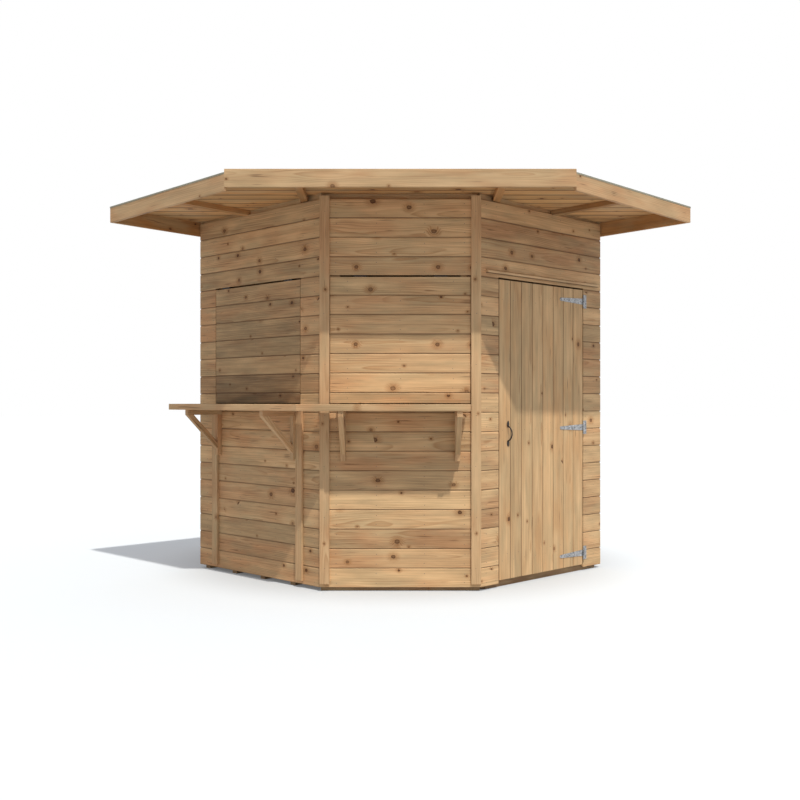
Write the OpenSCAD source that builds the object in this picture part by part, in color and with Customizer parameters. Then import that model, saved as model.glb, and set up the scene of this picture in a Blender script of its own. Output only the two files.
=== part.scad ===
// Corner garden bar: a five-sided timber bar hut for the corner of a garden.
// The front wall is cut across the corner. The left and right walls leave it at 45 degrees, and two
// plain back walls meet at a right angle. Serving hatches open over an outside shelf on the front and
// left walls, and a boarded door hangs on tee hinges in the right wall. +Z is up, the front faces -Y,
// and the origin lies on the ground under the middle of the roof.

/* [Plan] */
// Width of the front wall across the cut corner
front_w = 926; // [800:1:1100]
// Length of each side wall
side_w = 1202; // [1120:1:1500]

/* [Walls] */
// Thickness of the cladding boards
clad_t = 16; // [12:1:22]
// Depth of the framing behind the cladding
stud_d = 44; // [34:1:60]
// Width of a stud or rail
stud_w = 44; // [34:1:60]
// Height of the lower edge of the cladding above the ground
clad_z = 21; // [5:1:40]
// Height of the top of the front and side walls
wall_top = 2247; // [2190:1:2260]
// Height of the heads over the door and the hatches
head_z = 1813; // [1700:1:1900]
// Width of a corner trim
trim_w = 57; // [40:1:70]
// Thickness of a corner trim
trim_t = 16; // [10:1:22]
// Height of the lower end of a corner trim
trim_z = 41; // [25:1:60]
// How far a corner trim stops short of the roof boards
trim_short = 21; // [2:1:40]

/* [Floor] */
// Width and height of a floor bearer
bearer = 45; // [35:1:70]
// Spacing of the floor bearers
bearer_pitch = 291; // [250:1:400]
// Distance from the right wall's face to the middle of the first bearer
bearer_first = 44; // [42:1:60]
// Distance from the back left wall's face to the middle of the last bearer
bearer_last = 67; // [45:1:80]
// How far the bearers stop short of the back right wall's face
bearer_short = 38; // [20:1:100]
// Thickness of the floor boards
floor_t = 16; // [12:1:22]
// Height of the door's sill above the floor
sill_h = 12; // [6:1:25]

/* [Shelf and hatches] */
// Height of the top of the serving shelf
shelf_z = 1072; // [950:1:1150]
// Thickness of the shelf
shelf_t = 37; // [28:1:60]
// How far the shelf stands out from the walls
shelf_out = 263; // [200:1:300]
// Gap between the walls and the shelf beside the hatch sills
shelf_gap = 42; // [20:1:60]
// Distance from the shelf's far end to the back corner of the left wall
shelf_end = 38; // [0:1:100]
// Distance from the shelf's near end to the right front corner
front_shelf_end = 77; // [60:1:100]
// How far a hatch's sill runs past the hatch on each side
sill_over = 13; // [5:1:30]
// Gap between the front hatch's boards and the corner trims
trim_gap = 3; // [2:0.5:6]
// How far the front hatch's boards lap the wall on each side of its opening
hatch_lap = 56; // [30:1:90]
// Clearance between the front hatch's boards and the wall that they lap
lap_gap = 0.5; // [0.5:0.5:1.5]
// Distance from the front corner to the left hatch
left_hatch_u = 177; // [150:1:220]
// Distance from the left hatch to the back corner
left_hatch_end = 179; // [150:1:300]
// Gap over a hatch or the door, where the hatch hinges sit
head_gap = 11; // [10.5:0.5:14]
// Gap beside and under a hatch and beside the door
side_gap = 5; // [5:0.5:8]
// Width of the rails behind a hatch's boards
hatch_rail = 70; // [50:1:100]
// Thickness of the rails behind a hatch or the door
rail_t = 20; // [14:1:24]
// Thickness of the shelf brackets
bracket_t = 30; // [20:1:45]
// How far a shelf bracket stops short of the shelf's outer edge
bracket_short = 9; // [2:1:60]
// Length of a bracket's leg below the shelf
bracket_leg = 288; // [270:1:400]
// Depth of the arm, leg and brace of a bracket
bracket_arm = 32; // [20:1:40]
// How far a bracket's brace falls from its arm to its leg
brace_fall = 218; // [160:1:230]
// Distance from the front opening's edge to the middle of a front bracket
bracket_in = 19; // [15:1:80]
// How far the near batten's middle stands outside the left hatch's edge
near_batten_out = 4; // [0:1:50]
// How far the far batten's middle stands inside the left hatch's edge
far_batten_in = 4; // [0:1:50]

/* [Door] */
// Distance from the front corner to the door
door_u = 162; // [140:1:200]
// Distance from the door to the back corner
door_end = 198; // [160:1:300]
// Height of the door's lower edge
door_z = 41; // [25:1:55]
// Height of a ledge across the back of the door
ledge_h = 95; // [70:1:140]
// Distance from the door's edges to the ends of its ledges
ledge_in = 50; // [10:1:90]
// Distance from the floor's sill and from the door's upper edge to its end ledges
ledge_end = 50; // [20:1:120]
// Length of a hinge strap from its pin
strap_l = 250; // [160:1:320]
// Height of a hinge strap at its pin
strap_h = 38; // [24:1:44]
// Height of a hinge's wall plate
plate_h = 85; // [70:1:120]
// Width of a hinge's wall plate
plate_w = 34; // [24:1:50]
// Distance from the door's upper and lower edges to the middles of its end hinges
hinge_in = 74; // [64:1:140]
// Thickness of the hinge steel
hinge_t = 2.5; // [2:0.5:4]
// Radius of a hinge's knuckle
knuckle_r = 6; // [5:0.5:7]
// Radius of a hinge's pin
pin_r = 3; // [2:0.5:3.5]
// Radial clearance of a pin in its knuckle
pin_gap = 0.1; // [0.05:0.05:0.1]
// Length of the pull handle
pull_l = 153; // [110:1:200]
// How far the pull handle stands out
pull_out = 31; // [25:1:55]
// Radius of the pull handle's bar
pull_r = 4; // [3.5:0.5:6]
// Height of the middle of the pull handle
pull_z = 897; // [700:1:1100]
// Distance from the door's free edge to the pull handle
pull_in = 82; // [50:1:120]
// Height of the drip strip over the door
drip_h = 23; // [15:1:30]
// How far the drip strip stands out
drip_out = 20; // [14:1:30]
// Distance from the wall's ends to the drip strip
drip_in = 45; // [20:1:80]
// Height of the drip strip's lower edge above the head of the door
drip_up = 17; // [5:1:60]

/* [Roof] */
// Height of the underside of the roof boards over the front wall's face
roof_z = 2287; // [2275:1:2400]
// Fall of the roof towards the back, in degrees
roof_fall = 1.72; // [0.5:0.01:2]
// Overhang past the front wall
over_front = 425; // [300:1:480]
// Overhang past each side wall
over_side = 638; // [500:1:700]
// Overhang past each back wall
over_back = 30; // [25:1:120]
// Thickness of the roof boards
deck_t = 8; // [7:1:18]
// Thickness of the roof felt
felt_t = 1.5; // [1:0.5:4]
// How far the felt is turned down over the side and back fascias
felt_hem = 8; // [5:1:30]
// Height of a fascia board
fascia_h = 97; // [80:1:140]
// Thickness of a fascia board
fascia_t = 20; // [14:1:28]
// How much higher the front fascia sits than the side ones
fascia_lift = 19; // [0:1:30]
// Width of a rafter or lookout
rafter_w = 45; // [34:1:60]
// Depth of a rafter or lookout
rafter_d = 30; // [25:1:60]
// Distance of the outer rafters from the centre line
rafter_x = 561; // [500:1:700]
// Distance along a side wall from the front corner to its lookout
lookout_u = 700; // [580:1:800]

/* [Hidden] */

$fn = 48;
root2 = sqrt(2);
wall_t = clad_t + stud_d;                       // cladding and framing together
half_front = front_w / 2;
back_y = half_front + side_w * root2;           // where the back walls' faces meet
back_w = side_w + half_front * root2;           // length of a back wall
mid_y = (back_y + over_back * root2 - over_front) / 2;
floor_z = bearer + floor_t;                     // top of the floor
shelf_base = shelf_z - shelf_t;                 // top of the wall under a hatch
leaf_top = head_z - head_gap;                   // top of the door and of each hatch
hatch_z = shelf_z + side_gap + 1;               // lower edge of a hatch
corner_miter = tan(22.5);                       // miter of the 135 degree corners
square_miter = 1;                               // miter of the 90 degree corners
reach = 4000;                                   // longer than any side of the building
seat = 1;                                       // how far boards of one piece run into each other
join = 0.05;                                    // gap where boards of two pieces meet at a corner
back_top = wall_top - back_y * tan(roof_fall);  // top of the back walls' frames
cut_z = roof_z + stud_w;                        // top of what is then cut to the roof's slope

door_w = side_w - door_u - door_end;
left_hatch_w = side_w - left_hatch_u - left_hatch_end;
front_leaf_u = trim_w + trim_gap;                // edge of the front hatch's boards
front_hatch_u = front_leaf_u + hatch_lap + side_gap;
front_hatch_w = front_w - 2 * front_hatch_u;    // width of the front hatch inside its opening
bracket_out = shelf_out - bracket_short;
near_batten_u = left_hatch_u - near_batten_out;
far_batten_u = left_hatch_u + left_hatch_w - far_batten_in;

// Door hinge pin: its place along the right wall and in front of the wall's face
pin_u = door_u + door_w + side_gap / 2;
pin_v = -knuckle_r;
hinge_zs = [door_z + hinge_in, (door_z + leaf_top) / 2, leaf_top - hinge_in];

drip_z = head_z + drip_up;                      // lower edge of the drip strip

// Hatch hinges: small butt hinges whose knuckles sit in the gap over each hatch
butt_v = 2;
butt_z = leaf_top + head_gap / 2;
butt_r = 4;
butt_pin_r = 1.8;
butt_leaf_t = head_gap / 2 - butt_r + 0.5;
butt_leaf_d = 36;
butt_l = 75;
butt_in = 110;                                  // from a hatch's side to the middle of its hinge

// ---- Plan outlines ----

// The five-sided outline of the building, moved outwards by its own distance on each kind of side
function outline(front, side, back) =
    let (
        front_x = half_front + side * root2 - front,
        side_x = (half_front + back_y + (side + back) * root2) / 2,
        side_y = (back_y - half_front + (back - side) * root2) / 2
    )
    [[-front_x, -front], [front_x, -front], [side_x, side_y], [0, back_y + back * root2], [-side_x, side_y]];

function even_outline(out) = outline(out, out, out);

// The fascias' faces lie inside the felt's turned edge, and the boards inside the fascias
side_face = over_side - felt_t;
back_face = over_back - felt_t;
roof_outer = outline(over_front, side_face, back_face);
roof_inner = outline(over_front - fascia_t, side_face - fascia_t, back_face - fascia_t);

// ---- Frames of reference ----

module in_place() translate([0, -mid_y, 0]) children();

// Along the front wall: X runs from the left corner, Y into the building
module on_front() in_place() translate([-half_front, 0, 0]) children();

// Along a side wall: X runs from the front corner, Y into the building
module on_right() in_place() translate([half_front, 0, 0]) rotate([0, 0, 45]) children();
module on_left() mirror([1, 0, 0]) on_right() children();

// Along a back wall: X runs from the side corner, Y into the building
module on_back_right() {
    in_place() translate([half_front + side_w / root2, side_w / root2, 0]) rotate([0, 0, 135]) children();
}
module on_back_left() mirror([1, 0, 0]) on_back_right() children();

// ---- Building blocks ----

// A slab of wall from u0 to u1 along it and v0 to v1 through it, with mitered ends where asked
module slab(u0, u1, v0, v1, z0, z1, miter0 = 0, miter1 = 0) {
    translate([0, 0, z0]) linear_extrude(z1 - z0) polygon([
        [u0 + miter0 * v0, v0], [u1 - miter1 * v0, v0],
        [u1 - miter1 * v1, v1], [u0 + miter0 * v1, v1]
    ]);
}

// A framed wall panel: cladding outside, and behind it a frame with an opening in each bay
module panel(u0, u1, z0, z1, frame_z0, miter0 = 0, miter1 = 0, bays = 1) {
    left_end = u0 + miter0 * wall_t + stud_w;
    right_end = u1 - miter1 * wall_t - stud_w;
    step = (right_end - left_end + stud_w) / bays;
    slab(u0, u1, 0, clad_t, z0, z1, miter0, miter1);
    difference() {
        slab(u0, u1, clad_t, wall_t, frame_z0, z1, miter0, miter1);
        if (step > stud_w)
            for (i = [0 : bays - 1])
                translate([left_end + i * step, clad_t - seat, frame_z0 + stud_w])
                    cube([step - stud_w, stud_d + 2 * seat, z1 - frame_z0 - 2 * stud_w]);
    }
}

// What lies between two heights measured square to the sloping roof, over a flat outline
module pitched(low, high) {
    intersection() {
        linear_extrude(reach) children();
        translate([0, 0, roof_z]) rotate([-roof_fall, 0, 0])
            translate([-reach, -reach, low]) cube([2 * reach, 2 * reach, high - low]);
    }
}

// A wall's top plate, later cut to the slope of the roof
module top_plate(u0, u1, v0, miter1) {
    slab(u0, u1, v0, wall_t, wall_top - seat, cut_z, corner_miter, miter1);
}

// ---- Floor ----

// Bearers run square to the left wall, side by side under the floor
module floor_bearers() {
    span = back_w - bearer_first - bearer_last;
    count = round(span / bearer_pitch);
    color("burlywood") intersection() {
        in_place() linear_extrude(bearer) intersection() {
            polygon(even_outline(-clad_t - join));
            translate([-reach, clad_t + bearer + join]) square(2 * reach);
        }
        for (i = [0 : count])
            on_right() translate([-reach, bearer_first + i * span / count - bearer / 2, 0])
                cube([reach + side_w - bearer_short, bearer, bearer]);
    }
}

// The bearer along the front edge closes the ends of the cut ones
module front_rim_bearer() {
    color("burlywood") on_front()
        slab(join, front_w - join, clad_t, clad_t + bearer, 0, bearer, corner_miter, corner_miter);
}

module floor_boards() {
    color("tan") in_place() translate([0, 0, bearer]) linear_extrude(floor_t)
        polygon(even_outline(-clad_t - join));
}

// A sill board on the floor behind the door
module door_threshold() {
    sill_v = clad_t + rail_t + side_gap;
    color("burlywood") on_right()
        slab(door_u, door_u + door_w, sill_v, wall_t + stud_w / 2, floor_z, floor_z + sill_h);
}

// ---- Front wall ----

module front_wall_lower() {
    color("burlywood") on_front()
        panel(join, front_w - join, clad_z, shelf_base, floor_z, corner_miter, corner_miter, 3);
}

// Cladding only under the corner trim: the hatch's boards cover the rest of the studs
module front_wall_side() {
    opening = front_leaf_u + hatch_lap;
    slab(join, opening, 0, clad_t, shelf_base, shelf_z, corner_miter);
    slab(join, trim_w, 0, clad_t, shelf_z - seat, head_z, corner_miter);
    slab(join, opening, clad_t, wall_t, shelf_base, head_z, corner_miter);
}

module front_wall_left_side() color("burlywood") on_front() front_wall_side();
module front_wall_right_side() color("burlywood") mirror([1, 0, 0]) on_front() front_wall_side();

module front_wall_upper() {
    color("burlywood") difference() {
        on_front() {
            panel(join, front_w - join, head_z, wall_top, head_z, corner_miter, corner_miter, 3);
            top_plate(seat, front_w - seat, (clad_t + wall_t) / 2, corner_miter);
        }
        roof_cut();
    }
}

// ---- Left wall ----

module left_wall_lower() {
    color("burlywood") on_left()
        panel(0, side_w, clad_z, shelf_base, floor_z, corner_miter, square_miter, 3);
}

module left_wall_front_side() {
    color("burlywood") on_left()
        panel(0, left_hatch_u - side_gap, shelf_base, head_z, shelf_base, corner_miter);
}

module left_wall_back_side() {
    color("burlywood") on_left() panel(
        left_hatch_u + left_hatch_w + side_gap, side_w, shelf_base, head_z, shelf_base, 0, square_miter
    );
}

module side_wall_upper() {
    panel(0, side_w, head_z, wall_top, head_z, corner_miter, square_miter, 3);
    top_plate(0, side_w, clad_t, square_miter);
}

module left_wall_upper() {
    color("burlywood") difference() {
        on_left() side_wall_upper();
        roof_cut();
    }
}

// ---- Right wall ----

module right_wall_front_side() {
    color("burlywood") on_right() panel(0, door_u - side_gap, clad_z, head_z, floor_z, corner_miter);
}

module right_wall_back_side() {
    color("burlywood") on_right()
        panel(door_u + door_w + side_gap, side_w, clad_z, head_z, floor_z, 0, square_miter);
}

module right_wall_over_door() {
    color("burlywood") difference() {
        on_right() side_wall_upper();
        roof_cut();
    }
}

// A strip over the door throws the rain off it
module door_drip_mould() {
    color("peru") on_right() slab(drip_in, side_w - drip_in, -drip_out, 0, drip_z, drip_z + drip_h);
}

// ---- Back walls ----

module back_right_wall() {
    color("burlywood") difference() {
        on_back_right() {
            panel(join, back_w - join, clad_z, back_top, floor_z, square_miter, square_miter, 5);
            slab(join, back_w - join, 0, wall_t, back_top - seat, cut_z, square_miter, square_miter);
        }
        roof_cut();
    }
}

module back_left_wall() mirror([1, 0, 0]) back_right_wall();

// ---- Corner trims ----

module corner_trim() slab(0, trim_w, -trim_t, 0, trim_z, roof_z - trim_short);
module front_left_corner_trim() color("burlywood") on_front() corner_trim();
module front_right_corner_trim() color("burlywood") mirror([1, 0, 0]) on_front() corner_trim();

// Two upright battens on the left wall below its shelf
module left_wall_battens() {
    color("burlywood") on_left()
        for (u = [near_batten_u, far_batten_u])
            slab(u - trim_w / 2, u + trim_w / 2, -trim_t, 0, trim_z, shelf_base);
}

// ---- Shelf ----

// The shelf stands off the walls, and meets the sill that fills the foot of each hatch's opening
module hatch_sill(u, width) {
    slab(u - sill_over, u + width + sill_over, -shelf_gap - seat, 0, shelf_base, shelf_z);
    slab(u - side_gap, u + width + side_gap, -seat, wall_t, shelf_base, shelf_z);
}

module front_shelf() {
    color("burlywood") on_front() {
        slab(join, front_w - front_shelf_end, -shelf_out, -shelf_gap, shelf_base, shelf_z, corner_miter);
        hatch_sill(front_hatch_u, front_hatch_w);
    }
}

module left_shelf() {
    color("burlywood") on_left() {
        slab(0, side_w - shelf_end, -shelf_out, -shelf_gap, shelf_base, shelf_z, corner_miter);
        hatch_sill(left_hatch_u, left_hatch_w);
    }
}

// A bracket: an arm under the shelf, a leg on the wall and a brace between them
module bracket() {
    arm_base = shelf_base - bracket_arm;
    run = bracket_out - bracket_arm;
    slope = brace_fall / run;
    brace_w = bracket_arm * sqrt(1 + slope * slope) / slope;
    translate([-bracket_t / 2, 0, 0]) rotate([90, 0, 90]) {
        linear_extrude(bracket_t) translate([-bracket_out, arm_base]) square([bracket_out, bracket_arm]);
        linear_extrude(bracket_t) translate([-bracket_arm, shelf_base - bracket_leg])
            square([bracket_arm, bracket_leg]);
        linear_extrude(bracket_t) polygon([
            [-bracket_out, arm_base + seat], [-bracket_out, arm_base],
            [seat - bracket_arm, arm_base - (run + seat) * slope],
            [seat - bracket_arm, arm_base - (run + seat - brace_w) * slope],
            [brace_w - bracket_out - seat / slope, arm_base + seat]
        ]);
    }
}

module front_bracket() {
    color("burlywood") on_front() translate([front_leaf_u + hatch_lap + bracket_in, 0, 0]) bracket();
}

module front_left_bracket() front_bracket();
module front_right_bracket() mirror([1, 0, 0]) front_bracket();

// The left wall's brackets stand against its battens
module left_bracket(u) color("burlywood") on_left() translate([u, 0, 0]) bracket();
module left_near_bracket() left_bracket(near_batten_u + (trim_w + bracket_t) / 2);
module left_far_bracket() left_bracket(far_batten_u - (trim_w + bracket_t) / 2);

// ---- Roof ----

module rafter(x, y0) translate([x - rafter_w / 2, y0]) square([rafter_w, back_y]);

// Rafters carry the boards from the front fascia to the back walls' cladding
module rafter_plans() {
    intersection() {
        polygon(outline(over_front - fascia_t, side_face, -clad_t));
        union() {
            rafter(-rafter_x, -over_front);
            rafter(0, wall_t);
            rafter(rafter_x, -over_front);
        }
    }
}

// A lookout on each side carries the overhang from its fascia in to the outer rafter
module lookout_plan() {
    intersection() {
        polygon(outline(over_front, side_face - fascia_t - join, 0));
        translate([half_front, 0]) rotate(45) translate([lookout_u - rafter_w / 2, -reach])
            square([rafter_w, 2 * reach]);
        translate([rafter_x + rafter_w / 2, -reach]) square(2 * reach);
    }
}

module lookout_plans() {
    lookout_plan();
    mirror([1, 0]) lookout_plan();
}

module roof_rafters() color("burlywood") in_place() pitched(-rafter_d, 0) rafter_plans();
module roof_lookouts() color("burlywood") in_place() pitched(-rafter_d, 0) lookout_plans();

// What the roof takes out of the walls: all over its underside, and a notch for each timber
module roof_cut() {
    in_place() {
        pitched(0, reach) square(3 * reach, center = true);
        pitched(-rafter_d, seat) rafter_plans();
        pitched(-rafter_d, seat) lookout_plans();
    }
}

module roof_boards() color("tan") in_place() pitched(0, deck_t) polygon(roof_inner);

// The felt runs up to the front fascia, and over the side and back ones with a turned edge
module roof_felt() {
    felt_edge = outline(over_front - fascia_t, over_side, over_back);
    color("dimgray") in_place() {
        pitched(deck_t, deck_t + felt_t) polygon(felt_edge);
        pitched(deck_t - felt_hem, deck_t + felt_t / 2) difference() {
            polygon(felt_edge);
            polygon(outline(over_front, side_face, back_face));
        }
    }
}

module fascia(points, lift = 0) {
    top = deck_t + lift;
    color("burlywood") in_place() pitched(top - fascia_h, top) polygon(points);
}

module front_fascia() fascia([roof_outer[0], roof_outer[1], roof_inner[1], roof_inner[0]], fascia_lift);
module right_fascia() fascia([roof_outer[1], roof_outer[2], roof_inner[2], roof_inner[1]]);
module side_fascias() {
    right_fascia();
    mirror([1, 0, 0]) right_fascia();
}

module back_right_fascia() fascia([roof_outer[2], roof_outer[3], roof_inner[3], roof_inner[2]]);
module back_left_fascia() mirror([1, 0, 0]) back_right_fascia();

// ---- Door ----

module door_boards() {
    color("burlywood") on_right() slab(door_u, door_u + door_w, 0, clad_t, door_z, leaf_top);
}

// Three ledges across the back, with a brace rising from the hinge side under each upper one
module door_ledges() {
    free_end = door_u + ledge_in;
    hinge_end = door_u + door_w - ledge_in;
    low = floor_z + sill_h + ledge_end;
    high = leaf_top - ledge_end - ledge_h;
    rise = (high - low) / 2;
    color("burlywood") on_right() translate([0, clad_t + rail_t, low]) rotate([90, 0, 0]) {
        for (i = [0 : 2])
            linear_extrude(rail_t) translate([free_end, i * rise]) square([hinge_end - free_end, ledge_h]);
        for (i = [0, 1])
            linear_extrude(rail_t) translate([0, i * rise]) polygon([
                [hinge_end, ledge_h - seat], [hinge_end - ledge_h, ledge_h - seat],
                [free_end, rise + seat], [free_end + ledge_h, rise + seat]
            ]);
    }
}

module at_hinges() {
    for (z = hinge_zs)
        on_right() translate([pin_u, pin_v, z]) children();
}

// Wall plate of a tee hinge with its two knuckles and the pin
module door_hinge_plates() {
    color("silver") at_hinges() {
        difference() {
            union() {
                cylinder(h = plate_h, r = knuckle_r, center = true);
                translate([0, -pin_v - hinge_t, -plate_h / 2]) cube([plate_w, hinge_t, plate_h]);
            }
            cylinder(h = strap_h + 1, r = knuckle_r + 0.5, center = true);
            translate([-1, -pin_v - hinge_t - 1, -strap_h / 2 - 0.5])
                cube([knuckle_r + 2, hinge_t + 2, strap_h + 1]);
        }
        cylinder(h = plate_h, r = pin_r, center = true);
    }
}

// Strap of a tee hinge: a knuckle round the pin and a long tapered tail with a round end
module door_hinge_straps() {
    tip_r = strap_h / 4;
    color("silver") at_hinges() difference() {
        union() {
            cylinder(h = strap_h, r = knuckle_r, center = true);
            translate([0, -pin_v, 0]) rotate([90, 0, 0]) linear_extrude(hinge_t) {
                polygon([
                    [0, -strap_h / 2], [-strap_h / 2, -strap_h / 2], [tip_r - strap_l, -tip_r],
                    [tip_r - strap_l, tip_r], [-strap_h / 2, strap_h / 2], [0, strap_h / 2]
                ]);
                translate([tip_r - strap_l, 0]) circle(tip_r);
            }
        }
        cylinder(h = strap_h + 2, r = pin_r + pin_gap, center = true);
    }
}

// Bow handle: a leaf-shaped plate at each end and a round bar that bows out between them
module door_handle() {
    plate_l = 40;
    plate_w = 20;
    plate_t = 3;
    side_r = (plate_l * plate_l + plate_w * plate_w) / (4 * plate_w);
    half = pull_l / 2 - plate_l + 8;
    rise = pull_out - plate_t / 2;
    bend = (half * half + rise * rise) / (2 * rise);
    sweep = 2 * atan2(half, bend - rise);
    color("black") on_right() translate([door_u + pull_in, 0, pull_z]) {
        translate([0, bend - pull_out, 0]) rotate([90, 0, -90]) rotate([0, 0, -sweep / 2])
            rotate_extrude(angle = sweep) translate([bend, 0]) circle(pull_r);
        for (side = [-1, 1]) translate([0, -plate_t, side * (pull_l - plate_l) / 2])
            rotate([-90, 0, 0]) intersection() {
                translate([plate_w / 2 - side_r, 0, 0]) cylinder(h = plate_t, r = side_r);
                translate([side_r - plate_w / 2, 0, 0]) cylinder(h = plate_t, r = side_r);
            }
    }
}

// ---- Hatches ----

// A hatch leaf: boards flush with the cladding on a frame of rails. The boards lap the wall by lap.
module hatch_leaf(u, width, lap = 0) {
    edge = side_gap;
    slab(u, u + width, 0, clad_t, hatch_z, leaf_top);
    if (lap > 0) slab(u - lap, u + width + lap, 0, clad_t - lap_gap, hatch_z, leaf_top);
    for (z = [hatch_z + edge, leaf_top - hatch_rail])
        slab(u + edge, u + width - edge, clad_t, clad_t + rail_t, z, z + hatch_rail);
    for (x = [u + edge, u + (width - hatch_rail) / 2, u + width - edge - hatch_rail])
        slab(x, x + hatch_rail, clad_t, clad_t + rail_t, hatch_z + edge, leaf_top);
}

function butt_us(u, width) = [u + butt_in, u + width - butt_in];

// The leaf screwed up under the head, with the two outer knuckles and the pin
module fixed_butts(u, width) {
    for (x = butt_us(u, width)) translate([x, butt_v, butt_z]) {
        difference() {
            union() {
                rotate([0, 90, 0]) cylinder(h = butt_l, r = butt_r, center = true);
                translate([-butt_l / 2, 0, head_gap / 2 - butt_leaf_t])
                    cube([butt_l, butt_leaf_d, butt_leaf_t]);
            }
            rotate([0, 90, 0]) cylinder(h = butt_l / 3 + 1, r = butt_r + 0.5, center = true);
        }
        rotate([0, 90, 0]) cylinder(h = butt_l, r = butt_pin_r, center = true);
    }
}

// The leaf screwed down on the hatch, with the middle knuckle
module moving_butts(u, width) {
    for (x = butt_us(u, width)) translate([x, butt_v, butt_z]) difference() {
        union() {
            rotate([0, 90, 0]) cylinder(h = butt_l / 3, r = butt_r, center = true);
            difference() {
                translate([-butt_l / 2, 0, -head_gap / 2])
                    cube([butt_l, rail_t + clad_t - butt_v, butt_leaf_t]);
                for (side = [-1, 1])
                    translate([side * butt_l / 3, 0, 0]) rotate([0, 90, 0])
                        cylinder(h = butt_l / 3 + 1, r = butt_r + 0.5, center = true);
            }
        }
        rotate([0, 90, 0]) cylinder(h = butt_l, r = butt_pin_r + pin_gap, center = true);
    }
}

module front_hatch() {
    color("burlywood") on_front() hatch_leaf(front_hatch_u, front_hatch_w, hatch_lap + side_gap);
}
module left_hatch() color("burlywood") on_left() hatch_leaf(left_hatch_u, left_hatch_w);
module front_hatch_hinges() color("silver") on_front() moving_butts(front_hatch_u, front_hatch_w);
module left_hatch_hinges() color("silver") on_left() moving_butts(left_hatch_u, left_hatch_w);

module hatch_hinge_leaves() {
    color("silver") {
        on_front() fixed_butts(front_hatch_u, front_hatch_w);
        on_left() fixed_butts(left_hatch_u, left_hatch_w);
    }
}

floor_bearers();
front_rim_bearer();
floor_boards();
door_threshold();
front_wall_lower();
front_wall_left_side();
front_wall_right_side();
front_wall_upper();
left_wall_lower();
left_wall_front_side();
left_wall_back_side();
left_wall_upper();
right_wall_front_side();
right_wall_back_side();
right_wall_over_door();
back_left_wall();
back_right_wall();
front_left_corner_trim();
front_right_corner_trim();
front_shelf();
left_shelf();
front_left_bracket();
front_right_bracket();
left_near_bracket();
left_far_bracket();
left_wall_battens();
door_drip_mould();
roof_rafters();
roof_lookouts();
roof_boards();
roof_felt();
front_fascia();
side_fascias();
back_left_fascia();
back_right_fascia();
door_hinge_plates();
hatch_hinge_leaves();
door_boards();
door_ledges();
door_hinge_straps();
door_handle();
front_hatch();
front_hatch_hinges();
left_hatch();
left_hatch_hinges();
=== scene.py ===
"""Looks of the corner garden bar: boarded walls, shelf, hatches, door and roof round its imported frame."""

import logging
import math
import random
from collections.abc import Sequence
from dataclasses import dataclass, field, replace
from enum import Enum

import bmesh
import bpy
from mathutils import Matrix, Vector


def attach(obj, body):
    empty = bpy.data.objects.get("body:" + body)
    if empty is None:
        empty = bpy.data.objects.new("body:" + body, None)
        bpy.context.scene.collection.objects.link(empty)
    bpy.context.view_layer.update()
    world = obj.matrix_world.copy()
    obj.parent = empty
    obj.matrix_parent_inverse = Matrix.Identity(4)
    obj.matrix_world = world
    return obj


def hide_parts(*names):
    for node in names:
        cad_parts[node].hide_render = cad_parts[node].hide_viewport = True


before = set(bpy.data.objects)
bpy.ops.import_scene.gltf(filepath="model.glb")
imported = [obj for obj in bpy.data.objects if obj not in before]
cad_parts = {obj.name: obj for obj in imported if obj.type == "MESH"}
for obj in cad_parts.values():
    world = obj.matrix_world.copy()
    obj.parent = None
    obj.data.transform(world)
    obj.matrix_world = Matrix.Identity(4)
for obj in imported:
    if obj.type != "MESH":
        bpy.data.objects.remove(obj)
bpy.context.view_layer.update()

log = logging.getLogger("corner_garden_bar")

GRAIN = "grain"  # attribute: place in a board, along, through and across it
TONE = "tone"  # attribute: a board's brightness, warmth and growth
MM = 0.001
DIAGONAL = math.sqrt(0.5)
CORNER_MITER = math.tan(math.radians(22.5))
SQUARE_MITER = 1.0
Pair = tuple[float, float]
Shade = tuple[int, int, int]  # red, green and blue on a screen, 0 to 255
Triple = tuple[float, float, float]
OUTWARD = Vector((0, -1, 0))  # out of a wall, in its face's own frame
STOCK = 18  # metres of timber each way, from which a board's place is drawn
NAIL_SHARES = (0.22, 0.7)  # where the two nails are across a board, as shares of its width
NAIL_STRAY = 3 * MM  # how far a nail may be off its place
# a shiplap board's cove: depth behind its face, and distance below its top edge, in millimetres
COVE = ((0.0, 10.0), (0.4, 7.8), (1.2, 5.8), (2.2, 4.0), (3.2, 2.4), (3.7, 1.4), (3.8, 0.3))


# ---- Sizes and places ----


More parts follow.
